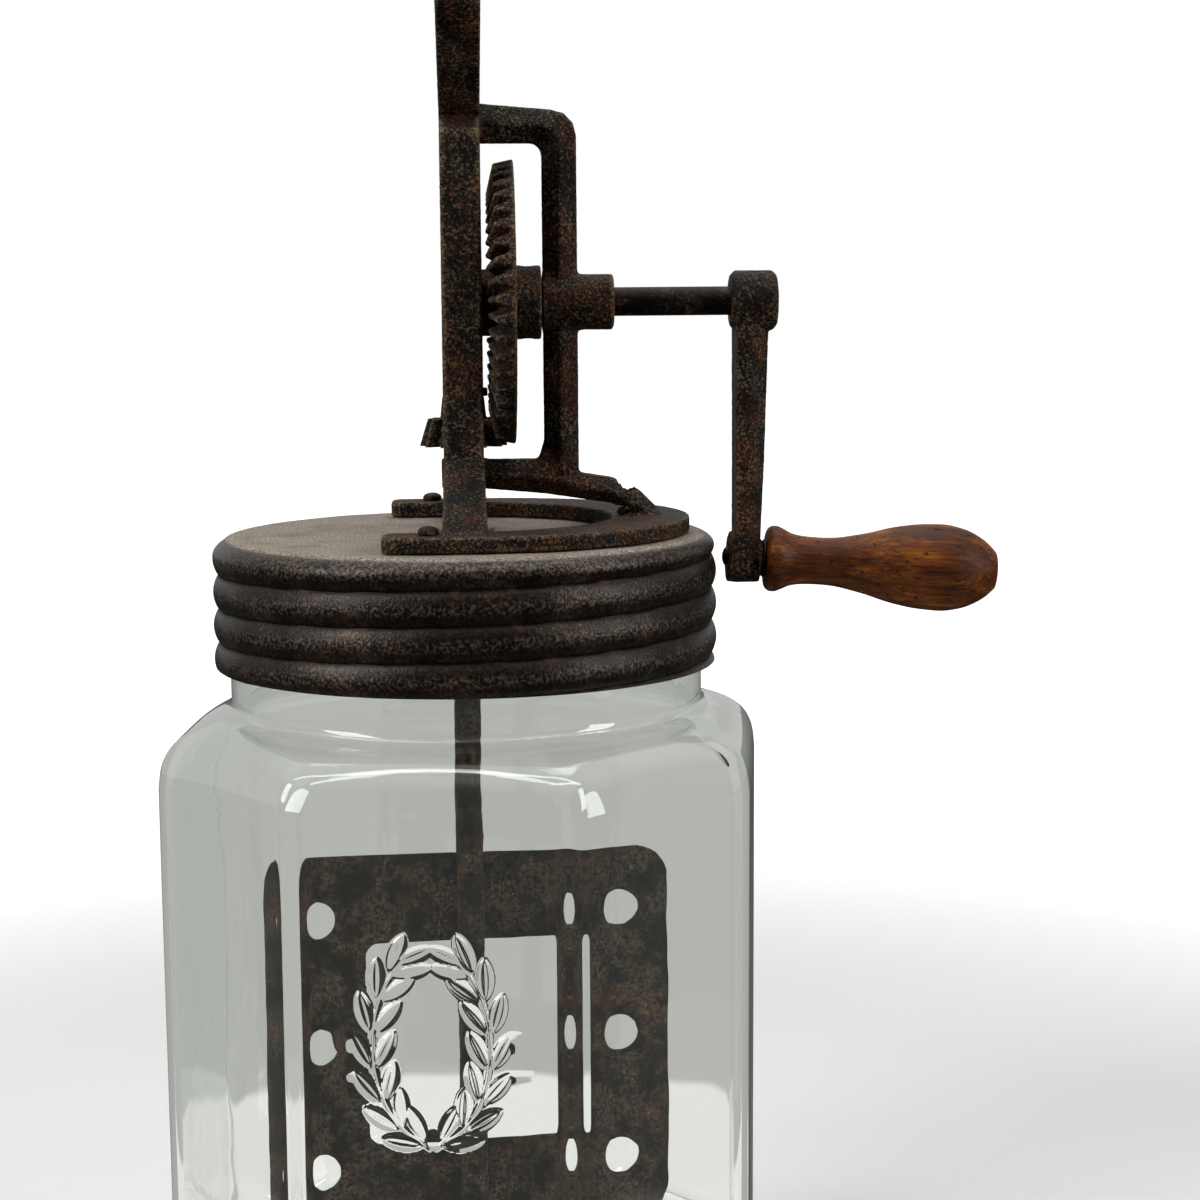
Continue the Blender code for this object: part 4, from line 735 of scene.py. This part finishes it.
def make_screw(number, steel):
    """A round headed screw of the base plate, with a slot."""
    node = f"frame_screw_{number}"
    low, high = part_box(node)
    middle = (low + high) / 2
    seat = high.z - SCREW_HEAD_HEIGHT
    profile = [(SCREW_RADIUS - CHAMFER, low.z), (SCREW_RADIUS, low.z + CHAMFER), (SCREW_RADIUS, seat)]
    profile.append((SCREW_HEAD_RADIUS, seat))
    profile += dome(SCREW_HEAD_RADIUS, seat + SCREW_RIM, SCREW_HEAD_HEIGHT - SCREW_RIM)
    place = Matrix.Translation((middle.x, middle.y, 0))
    bm = turned(profile, place, closed=False, steps=PIN_STEPS)
    screw = finish_piece(f"{node}_round_head", bm, steel, node)
    slot = bmesh.new()
    turn = Matrix.Rotation(SCREW_SLOT_TURNS[number - 1], 4, "Z")
    size = Matrix.Diagonal((4 * SCREW_HEAD_RADIUS, SCREW_SLOT_WIDTH, 2 * SCREW_SLOT_DEPTH, 1))
    crown = Matrix.Translation((middle.x, middle.y, high.z))
    bmesh.ops.create_cube(slot, size=1, matrix=crown @ turn @ size)
    cut_with(screw, "DIFFERENCE", slot)


def make_nut(node, direction, radius, bore, steel):
    """A six sided nut with its corners turned off."""
    low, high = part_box(node)
    direction = Vector(direction)
    place = pointing((low + high) / 2, direction)
    half = (high - low).dot(direction) / 2
    face = radius * NUT_FACE_SHARE
    side = half * NUT_SIDE_SHARE
    profile = [(bore, -half), (face, -half), (radius, -side), (radius, side), (face, half), (bore, half)]
    nut = finish_piece(f"{node}_hexagon", turned(profile, place), steel, node)
    prism = bmesh.new()
    bmesh.ops.create_cone(prism, cap_ends=True, segments=6, radius1=radius, radius2=radius, depth=4 * half,
                          matrix=place @ Matrix.Rotation(math.pi / 2, 4, "Z"))
    cut_with(nut, "INTERSECT", prism)


def round_rectangle(width, low, high, corner, steps=8):
    """(x, z) points round an upright rectangle with round corners."""
    points = []
    for number, (side, end) in enumerate(((1, high), (-1, high), (-1, low), (1, low))):
        centre = (side * (width / 2 - corner), end - corner if end == high else end + corner)
        start = number * math.pi / 2
        points += [(centre[0] + corner * math.cos(a), centre[1] + corner * math.sin(a))
                   for a in steps_between(start, start + math.pi / 2, steps)]
        points.append((centre[0] + corner * math.cos(start + math.pi / 2),
                       centre[1] + corner * math.sin(start + math.pi / 2)))
    return points


def make_paddle(sheet):
    """The punched plate: outline, window and six holes, filled, thickened and bevelled."""
    low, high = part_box("paddle")
    bm = bmesh.new()
    window_low = low.z + PADDLE_END_WIDTH
    window_high = high.z - PADDLE_END_WIDTH
    window_width = PADDLE_WIDTH - 2 * PADDLE_SIDE_WIDTH
    loops = [round_rectangle(PADDLE_WIDTH, low.z, high.z, PADDLE_CORNER_ROUND),
             round_rectangle(window_width, window_low, window_high, PADDLE_WINDOW_ROUND)]
    reach = (high.z - low.z) / 2 - PADDLE_HOLE_END_INSET
    for side in (-1, 1):
        for row in (-1, 0, 1):
            x = side * (PADDLE_WIDTH - PADDLE_SIDE_WIDTH) / 2
            z = (low.z + high.z) / 2 + row * reach
            loops.append([(x + PADDLE_HOLE_RADIUS * math.cos(a), z + PADDLE_HOLE_RADIUS * math.sin(a))
                          for a in steps_between(0, FULL_TURN, PADDLE_HOLE_STEPS)])
    for loop in loops:
        points = [bm.verts.new((x, PADDLE_FRONT_Y, z)) for x, z in loop]
        for pair in zip(points, points[1:] + points[:1]):
            bm.edges.new(pair)
    bmesh.ops.triangle_fill(bm, edges=bm.edges, use_beauty=True)
    inner = [edge for edge in bm.edges if not edge.is_boundary]
    bmesh.ops.subdivide_edges(bm, edges=inner, cuts=PADDLE_SKIN_CUTS, use_grid_fill=True)
    bmesh.ops.triangulate(bm, faces=bm.faces)
    made = bmesh.ops.extrude_face_region(bm, geom=bm.faces)["geom"]
    back = [item for item in made if isinstance(item, bmesh.types.BMVert)]
    bmesh.ops.translate(bm, vec=(0, PADDLE_THICKNESS, 0), verts=back)
    bmesh.ops.recalc_face_normals(bm, faces=bm.faces)
    rims = [edge for edge in bm.edges if edge.calc_face_angle(0) > SHARP_ANGLE]
    bmesh.ops.bevel(bm, geom=rims, offset=PADDLE_EDGE_ROUND, affect="EDGES", segments=2, profile=0.5,
                    material=-1)
    for vertex in bm.verts:
        across = Vector((vertex.co.x, 0, vertex.co.z))
        nibble = across / PADDLE_NIBBLE_SIZE
        vertex.co.y += PADDLE_WARP * noise.noise(across / PADDLE_WARP_SIZE)
        vertex.co.x += PADDLE_NIBBLE * noise.noise(nibble)
        vertex.co.z += PADDLE_NIBBLE * noise.noise(nibble + PADDLE_NIBBLE_SHIFT)
    bmesh.ops.transform(bm, matrix=Matrix.Rotation(DASHER_TURN, 4, "Z"), verts=bm.verts)
    finish_piece("paddle_plate", bm, sheet, "paddle")


def make_fasteners(steel, rubber, brass):
    """Screws, nuts, rivets, pins, washers, collar, bush and seal."""
    for number in (1, 2, 3):
        make_screw(number, steel)
        make_nut(f"frame_nut_{number}", (0, 0, 1), NUT_RADIUS, SCREW_RADIUS + GAP, steel)
    for word in ("front", "back"):
        make_nut(f"top_grip_nut_{word}", (0, 1, 0), TOP_NUT_RADIUS, TOP_ROD_RADIUS + GAP, steel)
    across = (-math.sin(DASHER_TURN), math.cos(DASHER_TURN), 0)
    for word in ("upper", "lower"):
        node = f"paddle_rivet_{word}"
        low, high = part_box(node)
        place = pointing((0, 0, (low.z + high.z) / 2), across)
        headed_pin(f"{node}_domed", node, place, RIVET_FRONT, RIVET_BACK, RIVET_RADIUS, RIVET_HEAD_RADIUS,
                   RIVET_HEAD, steel)
    joint = JOINTS["grip_spin"]
    place = pointing(joint["pos_m"], joint["axis"])
    headed_pin("grip_pin_headed", "grip_pin", place, -GAP, GRIP_PIN_TAIL, GRIP_PIN_RADIUS,
               GRIP_PIN_HEAD_RADIUS, GRIP_PIN_HEAD, steel)
    inner = GRIP_PIN_RADIUS + GAP
    start = GRIP_START - GAP - GRIP_WASHER
    band("grip_washer_inner_ring", "grip_washer_inner", place, inner, GRIP_WASHER_RADIUS, start,
         start + GRIP_WASHER, steel)
    start = GRIP_START + GRIP_LENGTH - GRIP_RECESS_DEPTH + GAP
    band("grip_washer_outer_ring", "grip_washer_outer", place, inner, GRIP_RECESS_RADIUS - GAP, start,
         start + GRIP_WASHER, steel)
    upright = Matrix.Identity(4)
    rod = ROD_RADIUS + GAP
    low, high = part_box("thrust_collar")
    band("thrust_collar_ring", "thrust_collar", upright, rod, high.x, low.z, high.z, steel, CHAMFER)
    low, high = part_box("lid_seal")
    band("lid_seal_ring", "lid_seal", upright, high.x - SEAL_WIDTH, high.x, low.z, high.z, rubber,
         SEAL_CHAMFER)
    low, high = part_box("rod_bush")
    shelf = high.z - BUSH_FLANGE_THICKNESS
    profile = [(rod, low.z), (BUSH_RADIUS, low.z), (BUSH_RADIUS, shelf), (high.x - CHAMFER, shelf),
               (high.x, shelf + CHAMFER), (high.x, high.z - CHAMFER), (high.x - CHAMFER, high.z),
               (rod + CHAMFER, high.z), (rod, high.z - CHAMFER)]
    finish_piece("rod_bush_flanged", turned(profile), brass, "rod_bush")
    bar("gear_pin_bar", "gear_pin", (0, 0, 1), steel)
    bar("pinion_pin_bar", "pinion_pin", (1, 0, 0), steel)


def ring_stack(columns, rows, spot):
    """Extrudes a circle of edges row by row. spot(column, row) places each point."""
    bm = bmesh.new()
    layer = bm.verts.layers.int.new("column")
    fresh = bmesh.ops.create_circle(bm, segments=columns, radius=1)["verts"]
    for number, vertex in enumerate(fresh):
        vertex[layer] = number
    edges = list(bm.edges)
    for row in range(rows):
        if row:
            made = bmesh.ops.extrude_edge_only(bm, edges=edges)["geom"]
            fresh = [item for item in made if isinstance(item, bmesh.types.BMVert)]
            edges = [item for item in made if isinstance(item, bmesh.types.BMEdge) and item.is_boundary]
        for vertex in fresh:
            vertex.co = spot(vertex[layer], row)
    return bm


def close_ends(bm):
    bmesh.ops.holes_fill(bm, edges=bm.edges, sides=0)
    bmesh.ops.recalc_face_normals(bm, faces=bm.faces)
    return bm


def steps_between(start, end, count):
    """count values from start up to, but without, end."""
    return [start + (end - start) * step / count for step in range(count)]


def thread_wave(angle, z):
    """0 in the valley of the right hand thread and 1 on its crest."""
    phase = (z - LID_VALLEY_Z) / LID_PITCH - angle / FULL_TURN
    return abs(math.sin(math.pi * phase)) ** THREAD_SHARPNESS


def octagon_radius(angle, half_width, rounding):
    """Distance from the axis to the jar's octagon, at an angle from the middle of a wide face."""
    off_wide = abs((angle + EIGHTH) % (2 * EIGHTH) - EIGHTH)
    off_narrow = EIGHTH - off_wide
    narrow = (half_width + JAR_WIDE_FACE / 2) / math.sqrt(2)
    blend = 4 * rounding * (1 / math.cos(EIGHTH / 2) - 1)
    return soft_minimum(half_width / math.cos(off_wide), narrow / math.cos(off_narrow), blend)


def soft_minimum(a, b, blend):
    overlap = max(blend - abs(a - b), 0) / blend
    return min(a, b) - overlap * overlap * blend / 4


def shoulder_inward(line, rise):
    """How far the shoulder's line has drawn in, as a share, at a share of its height."""
    for low, high in zip(line, line[1:]):
        if rise <= high.x:
            return low.y + (high.y - low.y) * (rise - low.x) / max(high.x - low.x, 0.00001)
    return 1.0


def jar_columns():
    """Angles round the jar, closest at the corners and across the front face."""
    corner = math.atan2(JAR_WIDE_FACE / 2, JAR_HALF_WIDTH)
    bend = CORNER_SPREAD * JAR_CORNER_ROUND * math.tan(EIGHTH / 2) / JAR_HALF_WIDTH
    angles = []
    for face in range(FACES):
        middle = face * EIGHTH
        reach = EIGHTH - corner if face % 2 else corner
        angles += steps_between(middle - reach - bend, middle - reach + bend, CORNER_COLUMNS)
        if face == FRONT_FACE:
            carved = math.atan2(WREATH_HALF_WIDTH + LEAF_HALF_LENGTH, JAR_HALF_WIDTH)
            angles += steps_between(middle - reach + bend, middle - carved, FACE_COLUMNS // 2)
            angles += steps_between(middle - carved, middle + carved, WREATH_COLUMNS)
            angles += steps_between(middle + carved, middle + reach - bend, FACE_COLUMNS // 2)
        else:
            angles += steps_between(middle - reach + bend, middle + reach - bend, FACE_COLUMNS)
    return angles


def wreath_spot(branch, along):
    """A place on a branch of the wreath, at an angle up from its tie, and the branch's slope there."""
    across, up = math.sin(along), math.cos(along)
    centre = Vector((branch * WREATH_HALF_WIDTH * across, -WREATH_HALF_HEIGHT * up))
    return centre, math.atan2(WREATH_HALF_HEIGHT * across, branch * WREATH_HALF_WIDTH * up)


def wreath_leaves():
    """Place and slope of each leaf, from the tie at the bottom up both branches."""
    leaves = []
    for branch in (-1, 1):
        for pair in range(LEAF_PAIRS):
            along = WREATH_GAP + (BRANCH_END - WREATH_GAP) * (pair + 0.5) / LEAF_PAIRS
            centre, heading = wreath_spot(branch, along)
            for side in (-1, 1):
                lean = heading + side * LEAF_SPREAD
                across = Vector((-math.sin(heading), math.cos(heading))) * (side * LEAF_OFFSET)
                leaves.append((centre + across, math.cos(lean), math.sin(lean)))
        centre, heading = wreath_spot(branch, TIP_LEAF_PLACE)
        leaves.append((centre, math.cos(heading), math.sin(heading)))
    return leaves


def wreath_height(leaves, across, up):
    """Height of the wreath's relief at a place on the front face, measured from its centre."""
    height = 0.0
    for centre, cosine, sine in leaves:
        dx = across - centre.x
        dy = up - centre.y
        along = (dx * cosine + dy * sine) / LEAF_HALF_LENGTH
        if abs(along) >= 1:
            continue
        taper = 1 - along * along
        aside = (dy * cosine - dx * sine) / (taper ** LEAF_OUTLINE_POWER * LEAF_HALF_WIDTH)
        if abs(aside) >= 1:
            continue
        rib = 1 - RIB_DEPTH * math.exp(-(aside / RIB_HALF_WIDTH) ** 2)
        height = max(height, (1 - aside * aside) ** LEAF_SIDE_POWER * taper ** LEAF_END_POWER * rib)
    round_share = math.hypot(across / WREATH_HALF_WIDTH, up / WREATH_HALF_HEIGHT)
    off_stem = abs(round_share - 1) * min(WREATH_HALF_WIDTH, WREATH_HALF_HEIGHT) / STEM_HALF_WIDTH
    if off_stem < 1 and up < WREATH_HALF_HEIGHT * STEM_TOP:
        height = max(height, STEM_HEIGHT * (1 - off_stem * off_stem))
    off_tie = math.hypot(across, up + WREATH_HALF_HEIGHT) / TIE_RADIUS
    if off_tie < 1:
        height = max(height, (1 - off_tie * off_tie) ** TIE_POWER)
    return height * WREATH_DEPTH


def row_heights(*parts):
    """Heights of the jar's rows, from parts written as (start, end, part of JAR_ROWS)."""
    return [z for start, end, part in parts for z in steps_between(start, end, JAR_ROWS[part])]


def jar_rows():
    """Each row of the jar's wall as (height, inset, drop), up the outside and down the inside."""
    quarter = math.pi / 2
    wreath_low = WREATH_Z - WREATH_HALF_HEIGHT - 2 * LEAF_HALF_LENGTH
    wreath_high = 2 * WREATH_Z - wreath_low
    rows = [(JAR_FOOT_ROUND * (1 - math.cos(a)), JAR_FOOT_ROUND * (1 - math.sin(a)), 0.0)
            for a in steps_between(0, quarter, JAR_ROWS["foot"])]
    outside = row_heights((JAR_FOOT_ROUND, wreath_low, "below wreath"), (wreath_low, wreath_high, "wreath"),
                          (wreath_high, JAR_SHOULDER_Z, "above wreath"),
                          (JAR_SHOULDER_Z, JAR_NECK_Z, "shoulder"),
                          (JAR_NECK_Z, NECK_THREAD_START_Z, "neck"),
                          (NECK_THREAD_START_Z, NECK_THREAD_END_Z, "thread"))
    rows += [(z, 0.0, 0.0) for z in outside]
    middle = JAR_WALL / 2
    rows += [(JAR_MOUTH_Z - middle * (1 - math.sin(a)), middle * (1 - math.cos(a)), 0.0)
             for a in steps_between(0, math.pi, JAR_ROWS["mouth"])]
    drop = JAR_INNER_DROP
    floor_top = JAR_FLOOR + JAR_FLOOR_ROUND
    inside = row_heights((JAR_MOUTH_Z - middle, JAR_NECK_Z - drop, "inner neck"),
                         (JAR_NECK_Z - drop, JAR_SHOULDER_Z - drop, "inner shoulder"),
                         (JAR_SHOULDER_Z - drop, floor_top, "inner wall"))
    rows += [(z, JAR_WALL, drop) for z in inside]
    for a in steps_between(0, quarter, JAR_ROWS["inner foot"]):
        inset = JAR_WALL + JAR_FLOOR_ROUND * (1 - math.cos(a))
        rows.append((floor_top - JAR_FLOOR_ROUND * math.sin(a), inset, drop))
    rows.append((JAR_FLOOR, JAR_WALL + JAR_FLOOR_ROUND, drop))
    return rows


def make_jar(glass):
    """The glass jar as one wall: up the outside with thread and wreath, and down the wavy inside."""
    angles = jar_columns()
    rows = jar_rows()
    shoulder = smooth_line(SHOULDER_SHARES, SHOULDER_STEPS)
    leaves = wreath_leaves()
    face_angle = FRONT_FACE * EIGHTH
    outward = Vector((math.cos(face_angle + JAR_TURN), math.sin(face_angle + JAR_TURN), 0))

    def spot(column, row):
        angle = angles[column]
        z, inset, drop = rows[row]
        rise = (z + drop - JAR_SHOULDER_Z) / (JAR_NECK_Z - JAR_SHOULDER_Z)
        inward = shoulder_inward(shoulder, min(max(rise, 0), 1))
        rounding = JAR_INNER_CORNER_ROUND if inset >= JAR_WALL else JAR_CORNER_ROUND
        rounding *= 1 + SHOULDER_ROUNDING_GROWTH * inward
        taper = JAR_FOOT_TAPER * (1 - min(z / JAR_SHOULDER_Z, 1))
        edge = octagon_radius(angle, JAR_HALF_WIDTH - taper, rounding) - inset
        radius = edge + (NECK_RADIUS - inset - edge) * inward
        turn = angle + JAR_TURN
        if not inset and NECK_THREAD_START_Z < z < NECK_THREAD_END_Z:
            share = (z - NECK_THREAD_START_Z) / (NECK_THREAD_END_Z - NECK_THREAD_START_Z)
            run_in = min(1, share * THREAD_RUN_IN, (1 - share) * THREAD_RUN_IN)
            radius += NECK_THREAD_HEIGHT * run_in * thread_wave(turn, z)
        away = Vector((math.cos(turn), math.sin(turn), 0))
        place = away * radius
        place.z = z
        if inset >= JAR_WALL:
            at = Vector((place.x, place.y, place.z * INNER_WAVE_STRETCH)) / INNER_WAVE_SIZE
            place += away * (INNER_WAVE_DEPTH * noise.noise(at))
        elif not inset and abs(angle - face_angle) < EIGHTH / 2:
            place += outward * wreath_height(leaves, radius * math.sin(angle - face_angle), z - WREATH_Z)
        return place

    bm = close_ends(ring_stack(len(angles), len(rows), spot))
    finish_piece("jar_glass", bm, glass, "glass_jar")


def lid_rows():
    """Rows of the lid as (radius, height, depth of thread): out over the top, down, and back up inside."""
    quarter = math.pi / 2
    crown = LID_VALLEY_RADIUS - LID_EDGE_ROUND
    edge_z = LID_TOP_Z - LID_EDGE_ROUND
    inner = LID_VALLEY_RADIUS - LID_SHEET
    inner_top = LID_TOP_Z - LID_SHEET
    inner_round = LID_EDGE_ROUND - LID_SHEET
    top = steps_between(LID_HOLE_RADIUS, LID_FLAT_RADIUS, LID_ROWS["flat"])
    top += steps_between(LID_FLAT_RADIUS, crown, LID_ROWS["crown"])
    rows = [(radius, LID_TOP_Z, 0.0) for radius in top]
    for a in steps_between(quarter, 0, LID_ROWS["edge"]):
        rows.append((crown + LID_EDGE_ROUND * math.cos(a), edge_z + LID_EDGE_ROUND * math.sin(a),
                     LID_THREAD_DEPTH * math.cos(a)))
    side = steps_between(edge_z, LID_RIM_Z, LID_ROWS["thread"]) + [LID_RIM_Z]
    rows += [(LID_VALLEY_RADIUS, z, LID_THREAD_DEPTH) for z in side]
    side = steps_between(LID_RIM_Z, edge_z - LID_SHEET, LID_ROWS["inner thread"])
    rows += [(inner, z, LID_THREAD_DEPTH) for z in side]
    for a in steps_between(0, quarter, LID_ROWS["inner edge"]):
        rows.append((inner - inner_round * (1 - math.cos(a)), edge_z + inner_round * math.sin(a),
                     LID_THREAD_DEPTH * math.cos(a)))
    ceiling = steps_between(inner - inner_round, LID_HOLE_RADIUS, LID_ROWS["ceiling"]) + [LID_HOLE_RADIUS]
    rows += [(radius, inner_top, 0.0) for radius in ceiling]
    return rows


def make_lid(steel):
    """The pressed lid. Its valley attribute is 1 in the valleys of the thread and 0 on crests and top."""
    rows = lid_rows()

    def spot(column, row):
        radius, z, depth = rows[row]
        angle = FULL_TURN * column / LID_COLUMNS
        radius += depth * thread_wave(angle, z)
        return Vector((radius * math.cos(angle), radius * math.sin(angle), z))

    bm = ring_stack(LID_COLUMNS, len(rows), spot)
    bmesh.ops.bridge_loops(bm, edges=[edge for edge in bm.edges if edge.is_boundary])
    bmesh.ops.recalc_face_normals(bm, faces=bm.faces)
    piece = finish_piece("lid_shell", bm, steel, "lid")
    points = read_vectors(piece.data.vertices, "co")
    rise = np.clip((np.hypot(points[:, 0], points[:, 1]) - LID_VALLEY_RADIUS) / LID_THREAD_DEPTH, 0, 1)
    side = points[:, 2] < LID_TOP_Z - LID_EDGE_ROUND
    layer = piece.data.attributes.new("valley", "FLOAT", "POINT")
    layer.data.foreach_set("value", np.where(side, 1 - rise, 0).astype(np.float32))
    roughen(piece, LID_DENT_SIZE, LID_DENT_DEPTH)


def make_crank_grip():
    """The turned grip of the crank, with a recess in its end for the pin's head."""
    joint = JOINTS["grip_spin"]
    place = pointing(joint["pos_m"], joint["axis"])
    wood = turned_wood("crank grip wood", place)
    end = GRIP_START + GRIP_LENGTH
    floor = end - GRIP_RECESS_DEPTH
    line = smooth_line(CRANK_GRIP_SHARES, GRIP_LINE_STEPS)
    profile = [(GRIP_RADIUS * point.y, GRIP_START + GRIP_LENGTH * point.x) for point in line]
    profile += [(GRIP_RECESS_RADIUS, end), (GRIP_RECESS_RADIUS, floor),
                (GRIP_BORE, floor), (GRIP_BORE, GRIP_START)]
    bm = turned(profile, place, steps=GRIP_ROUND_STEPS)
    finish_piece("crank_grip_wood", bm, wood, "crank_grip")


def make_top_grip():
    """The carrying grip in the fork, the same from its middle to either end."""
    joint = JOINTS["top_grip_spin"]
    place = pointing(joint["pos_m"], joint["axis"])
    wood = turned_wood("top grip wood", place)
    low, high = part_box("top_grip")
    half = (high.y - low.y) / 2
    radius = (high.z - low.z) / 2
    line = smooth_line(TOP_GRIP_SHARES, GRIP_LINE_STEPS)
    near = [(radius * point.y, -half + 2 * half * point.x) for point in line]
    far = [(wide, -height) for wide, height in reversed(near[:-1])]
    profile = near + far + [(TOP_GRIP_BORE, half), (TOP_GRIP_BORE, -half)]
    bm = turned(profile, place, steps=GRIP_ROUND_STEPS)
    finish_piece("top_grip_wood", bm, wood, "top_grip")


def make_stage():
    """A pale floor that keeps the churn's shadow. It turns into the white background further out."""
    net = new_net("studio floor")
    light_path = "ShaderNodeLightPath"
    camera = net.node(light_path, output="Is Camera Ray")
    through = net.node(light_path, output="Is Transmission Ray")
    glossy = net.node(light_path, output="Is Glossy Ray")
    radius = net.node("ShaderNodeVectorMath", {"operation": "LENGTH"}, {0: net.place()}, output="Value")
    far = HAZE_LEAST + HAZE_RISE * net.step(radius, HAZE_START, HAZE_END)
    haze = net.mix(camera * far, grey(0.0), grey(1.0))
    pale = net.mix(glossy, grey(FLOOR_LEVEL), grey(FLOOR_LEVEL_IN_GLOSS))
    matt = net.node("ShaderNodeBsdfDiffuse", None, {"Color": pale})
    glow = net.node("ShaderNodeEmission", None, {"Color": haze, "Strength": 1.0})
    floor_look = net.node("ShaderNodeAddShader", None, {0: matt, 1: glow})
    table = 1 - net.step(radius, *TABLE_EDGE)
    seen = net.mix(table, srgb(*BEHIND_GLASS), TABLE_SEEN)
    behind = net.node("ShaderNodeEmission", None, {"Color": seen, "Strength": 1.0})
    both = net.node("ShaderNodeMixShader", None, {0: through * TABLE_SHARE, 1: floor_look, 2: behind})
    net.node("ShaderNodeOutputMaterial", None, {"Surface": both})
    bm = bmesh.new()
    bmesh.ops.create_circle(bm, cap_ends=True, segments=FLOOR_STEPS, radius=FLOOR_RADIUS)
    mesh = bpy.data.meshes.new("studio_floor")
    bm.to_mesh(mesh)
    bm.free()
    mesh.materials.append(net.owner)
    floor = bpy.data.objects.new("studio_floor", mesh)
    bpy.context.scene.collection.objects.link(floor)
    floor.location.z = CAD_BOX[0].z - FLOOR_DROP


def make_world():
    """White to the camera, grey green behind the glass, and a soft room for everything else."""
    world = bpy.data.worlds.new("studio")
    bpy.context.scene.world = world
    net = Net(world)
    light_path = "ShaderNodeLightPath"
    way = net.node("ShaderNodeTexCoord", output="Generated")
    up = net.axis("Z", way)
    room = net.ramp(net.step(up, -0.3, 0.9), (0.0, grey(ROOM_LOW)), (1.0, grey(ROOM_HIGH)))
    overhead = net.step(up, 0.50, 0.86)
    past = net.step(net.axis("Y", way), -0.55, 0.35)
    shiny = net.ramp(overhead * 0.65 + past * 0.3, (0.0, grey(GLOSS_LOW)), (1.0, grey(GLOSS_HIGH)))
    around = net.mix(net.node(light_path, output="Is Glossy Ray"), room, shiny)
    behind = net.mix(net.node(light_path, output="Is Transmission Ray"), around, srgb(*BEHIND_GLASS))
    seen = net.mix(net.node(light_path, output="Is Camera Ray"), behind, grey(1.0))
    sky = net.node("ShaderNodeBackground", None, {"Color": seen, "Strength": 1.0})
    net.node("ShaderNodeOutputWorld", None, {"Surface": sky})


def add_lamp(name, place, width, height, power):
    """A flat lamp that faces the middle of the churn, with its size in metres and its power in watts."""
    lamp = bpy.data.lights.new(name, "AREA")
    lamp.shape = "RECTANGLE"
    lamp.size = width
    lamp.size_y = height
    lamp.energy = power
    holder = bpy.data.objects.new(name, lamp)
    bpy.context.scene.collection.objects.link(holder)
    holder.location = place
    holder.rotation_euler = (Vector(LAMP_TARGET) - Vector(place)).to_track_quat("-Z", "Y").to_euler()


def make_camera():
    """The photograph's view: from the front, a little above the lid, turned slightly to the right."""
    data = bpy.data.cameras.new("camera")
    data.lens = CAMERA_LENS
    data.sensor_width = CAMERA_SENSOR
    camera = bpy.data.objects.new("camera", data)
    bpy.context.scene.collection.objects.link(camera)
    turn = Matrix.Rotation(CAMERA_YAW, 4, "Z") @ Matrix.Rotation(CAMERA_PITCH, 4, "X")
    roll = Matrix.Rotation(CAMERA_ROLL, 4, "Z")
    camera.matrix_world = Matrix.Translation(CAMERA_PLACE) @ turn @ roll
    bpy.context.scene.camera = camera


def main():
    bpy.context.scene.view_settings.view_transform = "Standard"
    iron = cast_iron("cast iron")
    gear_iron = cast_iron("gear iron", rust=0.8)
    steel = dark_steel()
    sheet = paddle_steel()
    make_jar(jar_glass())
    make_lid(lid_steel())
    cast_piece("frame_casting", "frame", iron, voxel=0.0007, most_faces=190000, depth=0.00014)
    cast_piece("drive_gear_casting", "drive_gear", gear_iron, voxel=0.00045, most_faces=190000, depth=0.00008)
    cast_piece("crank_arm_casting", "crank_arm", iron, voxel=0.0005, most_faces=120000)
    cast_piece("pinion_casting", "pinion", gear_iron, voxel=0.0003, most_faces=120000, depth=0.00005)
    make_crank_grip()
    make_top_grip()
    make_paddle(sheet)
    make_fasteners(steel, seal_rubber(), bush_brass())
    bar("crank_shaft_bar", "crank_shaft", (1, 0, 0), steel)
    cast_piece("dasher_rod_bar", "dasher_rod", sheet, voxel=0.0006, most_faces=60000, soften=2, depth=0.0003)
    bar("top_grip_rod_bar", "top_grip_rod", (0, 1, 0), steel)
    make_stage()
    make_world()
    for lamp in LAMPS:
        add_lamp(*lamp)
    make_camera()


main()
